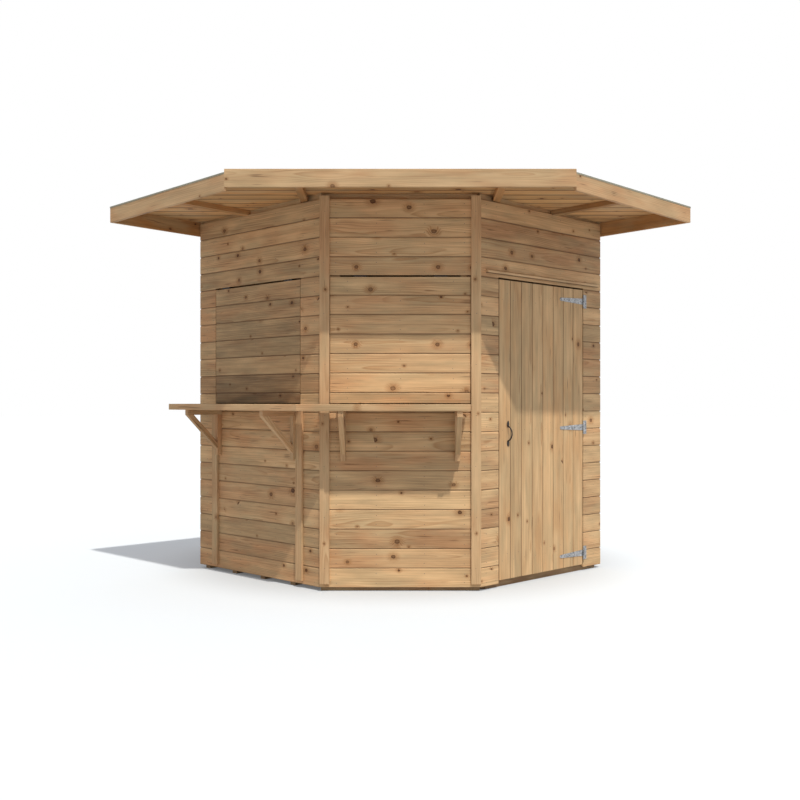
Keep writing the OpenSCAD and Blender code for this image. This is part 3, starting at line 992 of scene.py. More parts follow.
def mottle_group() -> bpy.types.NodeTree:
    """An uneven surface, for metal and felt: a mask of patches, one of grains, and a height.

    Returns:
        The group, with its patches, its grains and a height in millimetres.
    """
    values = {"Patch scale": 40.0, "Grain scale": 900.0}
    outputs = {"Patches": VALUE, "Grains": VALUE, "Height": VALUE}
    tree, bench, given, result = new_group("mottle", values, (), outputs)
    place = bench.add("ShaderNodeTexCoord").outputs["Object"]
    wide = {"Vector": place, "Scale": given["Patch scale"], "Detail": 3.0}
    patches = bench.add("ShaderNodeTexNoise", wide).outputs["Fac"]
    cells = bench.add("ShaderNodeTexVoronoi", {"Vector": place, "Scale": given["Grain scale"]}).outputs
    grains = bench.add("ShaderNodeSeparateColor", {0: cells["Color"]}).outputs[0]
    patch_height, grain_height, spread = 0.4, 0.3, (0.3, 0.7)
    height = bench.plus(bench.times(patches, patch_height), bench.times(grains, grain_height))
    patches = bench.ramp(patches, *spread)
    for key, value in (("Patches", patches), ("Grains", grains), ("Height", height)):
        tree.links.new(value, result.inputs[key])
    return tree


# ---- Finishes ----


def new_material(name: str) -> tuple[bpy.types.Material, NodeBench, bpy.types.Node]:
    """Starts a material.

    Args:
        name: Name of the material.

    Returns:
        The material, a bench on its nodes, and its Principled shader.
    """
    material = bpy.data.materials.new(name)
    material.use_nodes = True
    bench = NodeBench(material.node_tree)
    return material, bench, material.node_tree.nodes["Principled BSDF"]


@dataclass(frozen=True)
class TimberFinish:
    """Softwood as one part of the building has it."""

    name: str
    pale: Shade = (209, 176, 132)
    warm: Shade = (192, 148, 107)
    cool: Shade = (182, 158, 120)
    latewood: Shade = (156, 110, 68)
    knot: Shade = (78, 48, 28)
    ring_spacing: float = 0.0075
    ring_strength: float = 0.6
    knots: float = 0.42
    stain: float = 0.6
    board_contrast: float = 0.32
    streaks: float = 0.58
    board_width: float = 0.1
    # joint_shade and joint_reach: how dark and how wide the painted shade along both edges of each board is
    joint_shade: float = 0.0
    joint_reach: float = 0.0044
    relief: float = 0.8
    specular: float = 0.25

    def material(self, group: bpy.types.NodeTree) -> bpy.types.Material:
        """Makes the finish.

        Args:
            group: The timber node group.

        Returns:
            The material.
        """
        material, bench, shader = new_material(self.name)
        timber = bench.add("ShaderNodeGroup", node_tree=group)
        numbers = {
            "Ring spacing": self.ring_spacing,
            "Ring strength": self.ring_strength,
            "Knots": self.knots,
            "Stain": self.stain,
            "Board contrast": self.board_contrast,
            "Streaks": self.streaks,
            "Board width": self.board_width,
            "Joint shade": self.joint_shade,
            "Joint reach": self.joint_reach,
        }
        shades = {"Pale": self.pale, "Warm": self.warm, "Cool": self.cool}
        shades |= {"Latewood": self.latewood, "Knot": self.knot}
        for key, value in numbers.items():
            timber.inputs[key].default_value = value
        for key, shade in shades.items():
            timber.inputs[key].default_value = srgb(*shade)
        normal = bench.bump(timber.outputs["Height"], self.relief)
        bench.tree.links.new(timber.outputs["Colour"], shader.inputs["Base Color"])
        bench.tree.links.new(timber.outputs["Roughness"], shader.inputs["Roughness"])
        bench.tree.links.new(normal, shader.inputs["Normal"])
        shader.inputs["Specular IOR Level"].default_value = self.specular
        return material


@dataclass(frozen=True)
class MottledFinish:
    """A metal or mineral surface that varies in patches and in grains."""

    name: str
    light: Shade
    dark: Shade
    metallic: float
    roughness: Pair
    patch_scale: float
    grain_scale: float
    grain_share: float
    relief: float

    def material(self, group: bpy.types.NodeTree) -> bpy.types.Material:
        """Makes the finish.

        Args:
            group: The mottle node group.

        Returns:
            The material.
        """
        material, bench, shader = new_material(self.name)
        mottle = bench.add("ShaderNodeGroup", node_tree=group)
        mottle.inputs["Patch scale"].default_value = self.patch_scale
        mottle.inputs["Grain scale"].default_value = self.grain_scale
        patches, grains = mottle.outputs["Patches"], mottle.outputs["Grains"]
        from_patches = bench.times(patches, 1 - self.grain_share)
        share = bench.math("MULTIPLY_ADD", grains, self.grain_share, from_patches)
        colour = bench.mix(share, srgb(*self.dark), srgb(*self.light))
        rough = bench.ramp(patches, 0.0, 1.0, *self.roughness)
        normal = bench.bump(mottle.outputs["Height"], self.relief)
        for key, value in (("Base Color", colour), ("Roughness", rough), ("Normal", normal)):
            bench.tree.links.new(value, shader.inputs[key])
        shader.inputs["Metallic"].default_value = self.metallic
        return material


class Finishes:
    """Every finish of the building, each made once."""

    def __init__(self) -> None:
        """Makes the node groups and the materials."""
        timber, mottle = TimberLook().group(), mottle_group()
        # painted shade in the joints between the cladding's boards
        self.cladding = TimberFinish(
            "softwood_cladding",
            board_width=PLAN.board_pitch,
            joint_shade=0.56,
            streaks=0.72,
            ring_strength=0.72,
        ).material(timber)
        self.framing = TimberFinish(
            "sawn_framing", pale=(203, 172, 131), warm=(188, 147, 106), relief=1.0
        ).material(timber)
        # the bearers' darker timber is partly painted shade, for the shade under the building, and partly a
        # treated timber's own darker tone
        self.bearer = TimberFinish(
            "bearer_timber", pale=(150, 122, 92), warm=(126, 99, 72), relief=1.0
        ).material(timber)
        self.trim = TimberFinish(
            "planed_trim", pale=(206, 174, 133), board_contrast=0.12, knots=0.3, streaks=0.42
        ).material(timber)
        # painted shade along the drip strip's upper and lower edges, for the shadow lines round it
        self.drip = TimberFinish(
            "drip_strip",
            pale=(218, 188, 146),
            knots=0.3,
            board_width=PLAN.drip_h,
            joint_shade=0.75,
            joint_reach=0.005,
        ).material(timber)
        # painted shade in the grooves between the door's boards
        self.door = TimberFinish(
            "door_boards",
            pale=(213, 183, 140),
            warm=(198, 160, 116),
            board_contrast=0.34,
            knots=0.26,
            board_width=PLAN.door_w / PLAN.door_boards,
            joint_shade=0.6,
        ).material(timber)
        self.rafter = TimberFinish(
            "rafter_timber", pale=(184, 138, 90), warm=(166, 120, 72)
        ).material(timber)
        # wide painted shade in the grooves between the roof boards, seen from below
        self.roof = TimberFinish(
            "roof_boards",
            pale=(206, 164, 112),
            warm=(190, 142, 92),
            board_width=PLAN.board_pitch,
            joint_shade=0.55,
            joint_reach=0.018,
        ).material(timber)
        self.felt = MottledFinish(
            "mineral_felt",
            light=(170, 166, 147),
            dark=(122, 119, 103),
            metallic=0.0,
            roughness=(0.85, 0.97),
            patch_scale=5.0,
            grain_scale=700.0,
            grain_share=0.85,
            relief=1.0,
        ).material(mottle)
        self.galvanised = MottledFinish(
            "galvanised_steel",
            light=(198, 199, 201),
            dark=(100, 102, 105),
            metallic=0.6,
            roughness=(0.34, 0.52),
            patch_scale=55.0,
            grain_scale=160.0,
            grain_share=0.45,
            relief=0.12,
        ).material(mottle)
        self.nail = MottledFinish(
            "nail_heads",
            light=(128, 122, 116),
            dark=(82, 74, 66),
            metallic=0.7,
            roughness=(0.4, 0.6),
            patch_scale=200.0,
            grain_scale=900.0,
            grain_share=0.4,
            relief=0.1,
        ).material(mottle)
        self.black_iron = MottledFinish(
            "black_iron",
            light=(48, 35, 25),
            dark=(22, 16, 11),
            metallic=0.0,
            roughness=(0.5, 0.66),
            patch_scale=60.0,
            grain_scale=900.0,
            grain_share=0.3,
            relief=0.25,
        ).material(mottle)


# ---- Walls ----


@dataclass(frozen=True)
class Opening:
    """A door or hatch opening in a wall."""

    u0: float
    u1: float
    z0: float
    z1: float


@dataclass(frozen=True)
class Panel:
    """A part of a wall's frame: its ends, foot, head, the miters of its ends, and its bays."""

    u0: float
    u1: float
    z0: float
    z1: float
    miter0: float
    miter1: float
    bays: int


@dataclass
class Wall:
    """One boarded wall: its boards outside, its frame behind them and the nails along the studs."""

    finishes: Finishes
    name: str
    face: Face
    length: float
    miter0: float
    miter1: float
    nodes: tuple[str, ...]
    openings: tuple[Opening, ...] = ()
    board_openings: tuple[Opening, ...] = ()
    bays: int = 3
    plate_v: float = PLAN.clad_t
    bare_ends: float = 0.0
    top: float = PLAN.wall_top
    boards_to_roof: bool = False
    end_gap: float = 0.05 * MM
    roof_gap: float = 0.2 * MM
    nail_r: float = 2.3 * MM
    nail_below: float = 8 * MM
    studs: list[float] = field(default_factory=list)

    def build(self) -> None:
        """Makes the wall's boards, frame and nails."""
        self.frame()
        self.boards()

    def board_rows(self) -> list[Pair]:
        """Lays out the rows of boards.

        Returns:
            Lower edge and upper edge of each row.
        """
        top = PLAN.roof_z if self.boards_to_roof else self.top
        count = math.ceil((top - PLAN.clad_z) / PLAN.board_pitch - 1e-6)
        rows = [PLAN.clad_z + i * PLAN.board_pitch for i in range(count)]
        return [(z, min(z + PLAN.board_pitch, top)) for z in rows]

    def boards(self) -> None:
        """Makes the boards and their nails."""
        timbers, nails = Timbers(f"{self.name}_boards"), Fixings(f"{self.name}_nails")
        section = shiplap(PLAN.board_pitch, PLAN.clad_t)
        ends = mitered_ends(self.end_gap, self.length - self.end_gap, self.miter0, self.miter1)
        top = cut_at(2, self.top, True)
        if self.boards_to_roof:
            top = roof_plane(-self.roof_gap).seen_from(self.face)
        place_u, length = -PLAN.wall_t, self.length + 2 * PLAN.wall_t
        for low, high in self.board_rows():
            growth = timbers.growth()
            place = lying(place_u, 0.0, low)
            for u0, u1, z0, z1 in self.clear_parts(low, high):
                cuts = [*ends, top]
                cuts += [cut_at(0, u0, False)] if u0 > 0 else []
                cuts += [cut_at(0, u1, True)] if u1 < self.length else []
                cuts += [cut_at(2, z0, False)] if z0 > low else []
                cuts += [cut_at(2, z1, True)] if z1 < high or self.at_opening(u0, u1, z1) else []
                timbers.board(self.face, place, length, section, cuts, growth)
            self.nail_row(nails, low, high)
        timbers.piece(self.finishes.cladding, "cladding", "hut", self.nodes)
        nails.piece(self.finishes.nail, "hinge_steel", "hut")

    def at_opening(self, u0: float, u1: float, z: float) -> bool:
        """Whether an opening starts at this height over this stretch of the wall."""
        return any(abs(o.z0 - z) < MM and o.u0 < u1 and o.u1 > u0 for o in self.board_openings)

    def clear_parts(self, low: float, high: float) -> list[tuple[float, float, float, float]]:
        """What the openings leave of one row of boards.

        Args:
            low: Lower edge of the row.
            high: Upper edge of the row.

        Returns:
            Start, end, lower and upper edge of each part.
        """
        crossed = [o for o in self.board_openings if o.z0 < high and o.z1 > low]
        crossed.sort(key=lambda o: -o.z0)
        edges = sorted({0.0, self.length, *[u for o in crossed for u in (o.u0, o.u1)]})
        parts = []
        for u0, u1 in zip(edges, edges[1:]):
            z0, z1 = low, high
            for o in crossed:
                if o.u0 <= u0 and o.u1 >= u1:
                    z0, z1 = (max(z0, o.z1), z1) if o.z0 <= z0 else (z0, min(z1, o.z0))
            if z1 - z0 > MM:
                parts.append((u0, u1, z0, z1))
        return parts

    def nail_row(self, nails: Fixings, low: float, high: float) -> None:
        """Nails one row of boards to the studs.

        Args:
            nails: The wall's nails.
            low: Lower edge of the row.
            high: Upper edge of the row.
        """
        for u in self.studs:
            if not self.bare_ends < u < self.length - self.bare_ends:
                continue
            for share in NAIL_SHARES:
                z = low + share * PLAN.board_pitch
                inside = [o for o in self.board_openings if o.u0 < u < o.u1 and o.z0 < z < o.z1]
                if z > high - self.nail_below or inside:
                    continue
                spot = Vector((u + nails.stray(), 0.0, z + nails.stray()))
                nails.head(self.face, spot, OUTWARD, self.nail_r, Head.NAIL)

    def frame(self) -> None:
        """Makes the rails and studs behind the boards."""
        timbers = Timbers(f"{self.name}_frame")
        for panel in self.frame_panels():
            self.frame_panel(timbers, panel)
        self.top_plate(timbers)
        timbers.piece(self.finishes.framing, "framing", "hut")

    def frame_panels(self) -> list[Panel]:
        """Lays out the frame.

        Returns:
            Its panels: one, or those over, under and beside the opening.
        """
        start, end = self.end_gap, self.length - self.end_gap
        if not self.openings:
            return [Panel(start, end, PLAN.floor_z, self.top, self.miter0, self.miter1, self.bays)]
        o = self.openings[0]
        panels = [Panel(start, end, PLAN.head_z, self.top, self.miter0, self.miter1, self.bays)]
        foot = PLAN.floor_z
        if o.z0 > PLAN.floor_z:
            panels.append(Panel(start, end, foot, o.z0, self.miter0, self.miter1, self.bays))
            foot = o.z0
        panels.append(Panel(start, o.u0, foot, PLAN.head_z, self.miter0, 0.0, 1))
        panels.append(Panel(o.u1, end, foot, PLAN.head_z, 0.0, self.miter1, 1))
        return panels

    def frame_panel(self, timbers: Timbers, panel: Panel) -> None:
        """Makes one panel of the frame: rails at its foot and head, studs between them.

        Args:
            timbers: The frame's timbers.
            panel: The panel.
        """
        w, t, depth = PLAN.stud_w, PLAN.clad_t, PLAN.stud_d
        u0, u1, z0, z1 = panel.u0, panel.u1, panel.z0, panel.z1
        ends = mitered_ends(u0, u1, panel.miter0, panel.miter1)
        place_u, length = u0 - PLAN.wall_t, u1 - u0 + 2 * PLAN.wall_t
        for z in (z0, z1 - w):
            timbers.board(self.face, lying(place_u, t, z), length, eased(0.0, depth, 0.0, w), ends)
        first = u0 + panel.miter0 * PLAN.wall_t + w
        last = u1 - panel.miter1 * PLAN.wall_t - w
        step = (last - first + w) / panel.bays
        low, height = z0 + w, z1 - z0 - 2 * w
        if step <= w:
            timbers.board(self.face, standing(u0, t, low), height, eased(0, depth, 0, u1 - u0), ends)
            self.studs.append((u0 + u1) / 2)
            return
        starts = [first + i * step - w for i in range(1, panel.bays)]
        timbers.board(self.face, standing(u0, t, low), height, eased(0, depth, 0, first - u0), ends)
        timbers.board(self.face, standing(last, t, low), height, eased(0, depth, 0, u1 - last), ends)
        for u in starts:
            timbers.board(self.face, standing(u, t, low), height, eased(0, depth, 0, w))
        middles = [first - w / 2, last + w / 2, *[u + w / 2 for u in starts]]
        self.studs += [m for m in middles if all(abs(m - s) > w / 2 for s in self.studs)]

    def top_plate(self, timbers: Timbers) -> None:
        """Makes the plate that is planed to the slope of the roof.

        Args:
            timbers: The frame's timbers.
        """
        cuts = mitered_ends(self.end_gap, self.length - self.end_gap, self.miter0, self.miter1)
        cuts.append(roof_plane(-self.roof_gap).seen_from(self.face))
        section = eased(0.0, PLAN.wall_t - self.plate_v, 0.0, PLAN.roof_z - self.top + PLAN.stud_w)
        place = lying(-PLAN.wall_t, self.plate_v, self.top)
        timbers.board(self.face, place, self.length + 2 * PLAN.wall_t, section, cuts)


def all_walls(finishes: Finishes) -> list[Wall]:
    """Lays out the five walls.

    Args:
        finishes: The building's finishes.

    Returns:
        The walls, with their openings.
    """
    p = PLAN
    gap = p.side_gap
    front = Opening(p.front_hatch_u - gap, p.front_hatch_u + p.front_hatch_w + gap, p.shelf_base, p.head_z)
    left = Opening(p.left_hatch_u - gap, p.left_hatch_u + p.left_hatch_w + gap, p.shelf_base, p.head_z)
    door = Opening(p.door_u - gap, p.door_u + p.door_w + gap, 0.0, p.head_z)
    front_sill = Opening(front.u0, front.u1, p.shelf_base, p.shelf_z)
    front_boards = Opening(p.trim_w, p.front_w - p.trim_w, p.shelf_z, p.head_z)
    front_nodes = ("front_wall_lower", "front_wall_left_side", "front_wall_right_side", "front_wall_upper")
    left_nodes = ("left_wall_lower", "left_wall_front_side", "left_wall_back_side", "left_wall_upper")
    right_nodes = ("right_wall_front_side", "right_wall_back_side", "right_wall_over_door")
    back = {"length": p.back_w, "miter0": SQUARE_MITER, "miter1": SQUARE_MITER, "bays": 5}
    back |= {"top": p.back_top, "boards_to_roof": True}
    side = (p.side_w, CORNER_MITER, SQUARE_MITER)
    nail_clear = 0.006
    return [
        Wall(
            finishes,
            "front_wall",
            Face.FRONT,
            p.front_w,
            CORNER_MITER,
            CORNER_MITER,
            front_nodes,
            (front,),
            (front_sill, front_boards),
            plate_v=(p.clad_t + p.wall_t) / 2,
            bare_ends=p.trim_w + nail_clear,
        ),
        Wall(finishes, "left_wall", Face.LEFT, *side, left_nodes, (left,), (left,)),
        Wall(finishes, "right_wall", Face.RIGHT, *side, right_nodes, (door,), (door,)),
        Wall(finishes, "back_left_wall", Face.BACK_LEFT, nodes=("back_left_wall",), **back),
        Wall(finishes, "back_right_wall", Face.BACK_RIGHT, nodes=("back_right_wall",), **back),
    ]


@dataclass
class Trims:
    """The upright trims on both ends of the front wall, and the two battens under the left shelf."""

    finishes: Finishes
    short: float = 0.021
    near_out: float = 0.004
    far_in: float = 0.004
    corner_nails: int = 8
    batten_nails: int = 5
    nail_margin: float = 0.09
    nail_r: float = 2 * MM
    nail_stray: float = 4 * MM

    def build(self) -> None:
        """Makes the trims and battens."""
        p = PLAN
        height = p.roof_z - self.short - p.trim_z
        for side, face in (("left", Face.FRONT), ("right", Face.FRONT_FROM_RIGHT)):
            name = f"front_{side}_corner"
            timbers, nails = Timbers(f"{name}_board"), Fixings(f"{name}_nails")
            self.upright(timbers, nails, face, 0.0, height, self.corner_nails)
            timbers.piece(self.finishes.trim, "trim_timber", "hut", (f"{name}_trim",))
            nails.piece(self.finishes.nail, "hinge_steel", "hut")
        timbers, nails = Timbers("left_battens"), Fixings("left_batten_nails")
        height = p.shelf_base - p.trim_z
        for middle in self.batten_middles():
            self.upright(timbers, nails, Face.LEFT, middle - p.trim_w / 2, height, self.batten_nails)
        timbers.piece(self.finishes.trim, "trim_timber", "hut", ("left_wall_battens",))
        nails.piece(self.finishes.nail, "hinge_steel", "hut")

    def batten_middles(self) -> Pair:
        """Where the middles of the two battens are along the left wall."""
        p = PLAN
        return (p.left_hatch_u - self.near_out, p.left_hatch_u + p.left_hatch_w - self.far_in)

    def upright(
        self, timbers: Timbers, nails: Fixings, face: Face, u: float, height: float, count: int
    ) -> None:
        """Adds one upright board and its nails.

        Args:
            timbers: The piece that takes the board.
            nails: The piece that takes the nails.
            face: The wall's face.
            u: Where the board starts along the wall.
            height: Its height.
            count: Number of nails.
        """
        p = PLAN
        section = eased(0.0, p.trim_t, 0.0, p.trim_w, 2 * MM, 3)
        timbers.board(face, standing(u, -p.trim_t, p.trim_z), height, section)
        for i in range(count):
            z = p.trim_z + self.nail_margin + i * (height - 2 * self.nail_margin) / (count - 1)
            spot = Vector((u + p.trim_w / 2 + nails.stray(self.nail_stray), -p.trim_t, z))
            nails.head(face, spot, OUTWARD, self.nail_r, Head.NAIL)


# ---- Floor ----


@dataclass
class Floor:
    """Bearers, floor boards and the door's sill."""

    finishes: Finishes
    bearer: float = 0.045
    pitch: float = 0.291
    first: float = 0.044
    last: float = 0.067
    short: float = 0.038
    thick: float = 0.016
    sill_h: float = 0.012
    gap: float = 0.05 * MM
    front_spare: float = 0.03
    reach: float = 2.0
    bearer_reach: float = 3.0

    def build(self) -> None:
        """Makes the floor's timbers."""
        self.bearers()
        self.boards()
        self.threshold()

    def bearers(self) -> None:
        """Makes the bearers and the one along the front edge."""
        p, b = PLAN, self.bearer
        inset = -p.clad_t - self.gap
        rim = cut_at(1, p.clad_t + b + self.gap, False)
        sides = [*plan_cuts(p.outline(inset, inset, inset)), rim]
        cuts = [c.seen_from(Face.RIGHT) for c in sides]
        timbers = Timbers("bearers")
        span = p.back_w - self.first - self.last
        count = round(span / self.pitch)
        for i in range(count + 1):
            v = self.first + i * span / count - b / 2
            place = lying(p.side_w - self.short - self.bearer_reach, v, 0.0)
            timbers.board(Face.RIGHT, place, self.bearer_reach, eased(0.0, b, 0.0, b), cuts)
        timbers.piece(self.finishes.bearer, "framing", "hut", ("floor_bearers",))
        edge = Timbers("front_bearer")
        ends = mitered_ends(self.gap, p.front_w - self.gap, CORNER_MITER, CORNER_MITER)
        edge.board(Face.FRONT, lying(0.0, p.clad_t, 0.0), p.front_w, eased(0.0, b, 0.0, b), ends)
        edge.piece(self.finishes.bearer, "framing", "hut", ("front_rim_bearer",))

    def boards(self) -> None:
        """Makes the floor boards, which run along the front."""
        p = PLAN
        inset = -p.clad_t - self.gap
        corners = p.outline(inset, inset, inset)
        cuts = plan_cuts(corners)
        timbers = Timbers("floor")
        y = corners[0].y - self.front_spare
        while y < corners[3].y:
            section = v_board(p.board_pitch, self.thick, 1 * MM)
            place = axes((-self.reach, y, self.bearer + self.thick), (1, 0, 0), (0, 0, -1), (0, 1, 0))
            timbers.board(Face.PLAN, place, 2 * self.reach, section, cuts)
            y += p.board_pitch
        timbers.piece(self.finishes.framing, "framing", "hut", ("floor_boards",))

    def threshold(self) -> None:
        """Makes the sill board behind the door."""
        p = PLAN
        timbers = Timbers("threshold")
        inner = p.clad_t + p.rail_t + p.side_gap
        sill = eased(0.0, p.wall_t + p.stud_w / 2 - inner, 0.0, self.sill_h)
        timbers.board(Face.RIGHT, lying(p.door_u, inner, p.floor_z), p.door_w, sill)
        timbers.piece(self.finishes.trim, "framing", "hut", ("door_threshold",))


# ---- Shelf ----


@dataclass
class ServingShelf:
    """The outside shelf on the front and left walls, its sills and its brackets."""

    finishes: Finishes
    out: float = 0.263
    gap: float = 0.042
    end: float = 0.038
    front_end: float = 0.077
    sill_over: float = 0.013
    between: float = 2.0 * MM
    edge: float = 3.0 * MM
    bracket_t: float = 0.030
    bracket_short: float = 0.009
    bracket_leg: float = 0.288
    bracket_arm: float = 0.032
    brace_fall: float = 0.218
    bracket_in: float = 0.019
    spare: float = 0.2
    brace_start: float = 0.05
    brace_reach: float = 0.45
    clear: float = 0.1 * MM

    def build(self, battens: Pair) -> None:
        """Makes both shelves and the four brackets.

        Args:
            battens: The middles of the left wall's battens, which its brackets stand against.
        """
        p = PLAN
        front_hatch, left_hatch = (p.front_hatch_u, p.front_hatch_w), (p.left_hatch_u, p.left_hatch_w)
        self.shelf("front", Face.FRONT, p.front_w - self.front_end, front_hatch)
        self.shelf("left", Face.LEFT, p.side_w - self.end, left_hatch)
        front_u = p.front_hatch_u - p.side_gap + self.bracket_in
        beside = (p.trim_w + self.bracket_t) / 2
        self.bracket("front_left_bracket", Face.FRONT, front_u)
        self.bracket("front_right_bracket", Face.FRONT_FROM_RIGHT, front_u)
        self.bracket("left_near_bracket", Face.LEFT, battens[0] + beside)
        self.bracket("left_far_bracket", Face.LEFT, battens[1] - beside)

    def shelf(
        self, name: str, face: Face, length: float, hatch: Pair
    ) -> None:
        """Makes one shelf: two boards side by side, and the sill that joins them to the wall.

        Args:
            name: Front or left.
            face: The wall's face.
            length: Where the shelf ends along the wall.
            hatch: Where the hatch starts, and its width.
        """
        p, clear = PLAN, self.clear
        hatch_u, hatch_w = hatch
        timbers = Timbers(f"{name}_serving_shelf")
        wide = (self.out - self.gap - self.between) / 2
        section = eased(0.0, p.shelf_t, 0.0, wide, self.edge, 3)
        ends = mitered_ends(2 * clear, length, CORNER_MITER, 0.0)
        for i in range(2):
            v = -self.out + i * (wide + self.between)
            place = axes((-self.spare, v, p.shelf_z), (1, 0, 0), (0, 0, -1), (0, 1, 0))
            timbers.board(face, place, length + self.spare, section, ends)
        growth = timbers.growth()
        outer = (hatch_u - self.sill_over, hatch_w + 2 * self.sill_over, -self.gap + 2 * clear, -clear)
        inner = (hatch_u - p.side_gap + 2 * clear, hatch_w + 2 * p.side_gap - 4 * clear, clear, p.wall_t)
        for u, width, v0, v1 in (outer, inner):
            place = axes((u, v0, p.shelf_z), (1, 0, 0), (0, 0, -1), (0, 1, 0))
            timbers.board(face, place, width, eased(0.0, p.shelf_t, 0.0, v1 - v0, 1 * MM), growth=growth)
        timbers.piece(self.finishes.trim, "trim_timber", "hut", (f"{name}_shelf",))

    def bracket(self, name: str, face: Face, u: float) -> None:
        """Makes one bracket: an arm under the shelf, a leg on the wall and a brace between them.

        Args:
            name: The bracket's node.
            face: The wall's face.
            u: Where the bracket's middle is along the wall.
        """
        p, arm, out = PLAN, self.bracket_arm, self.out - self.bracket_short
        timbers = Timbers(f"{name}_timbers")
        base = p.shelf_base - arm
        half = self.bracket_t / 2
        section = eased(-half, half, 0.0, arm)
        timbers.board(face, axes((u, 0, base), (0, -1, 0), (1, 0, 0), (0, 0, 1)), out, section)
        foot = p.shelf_base - self.bracket_leg
        timbers.board(face, axes((u, 0, foot), (0, 0, 1), (1, 0, 0), (0, -1, 0)), base - foot, section)
        run = out - arm
        along = Vector((0, run, -self.brace_fall)).normalized()
        across = Vector((0, self.brace_fall, run)).normalized()
        start = Vector((u, -out, base)) - along * self.brace_start
        inset = half - 0.5 * MM
        brace = eased(-inset, inset, 0.0, arm)
        cuts = [cut_at(2, base, True), cut_at(1, -arm, True)]
        timbers.board(face, axes(start, along, (1, 0, 0), across), self.brace_reach, brace, cuts)
        timbers.piece(self.finishes.trim, "trim_timber", "hut", (name,))


# ---- Door and hatches ----


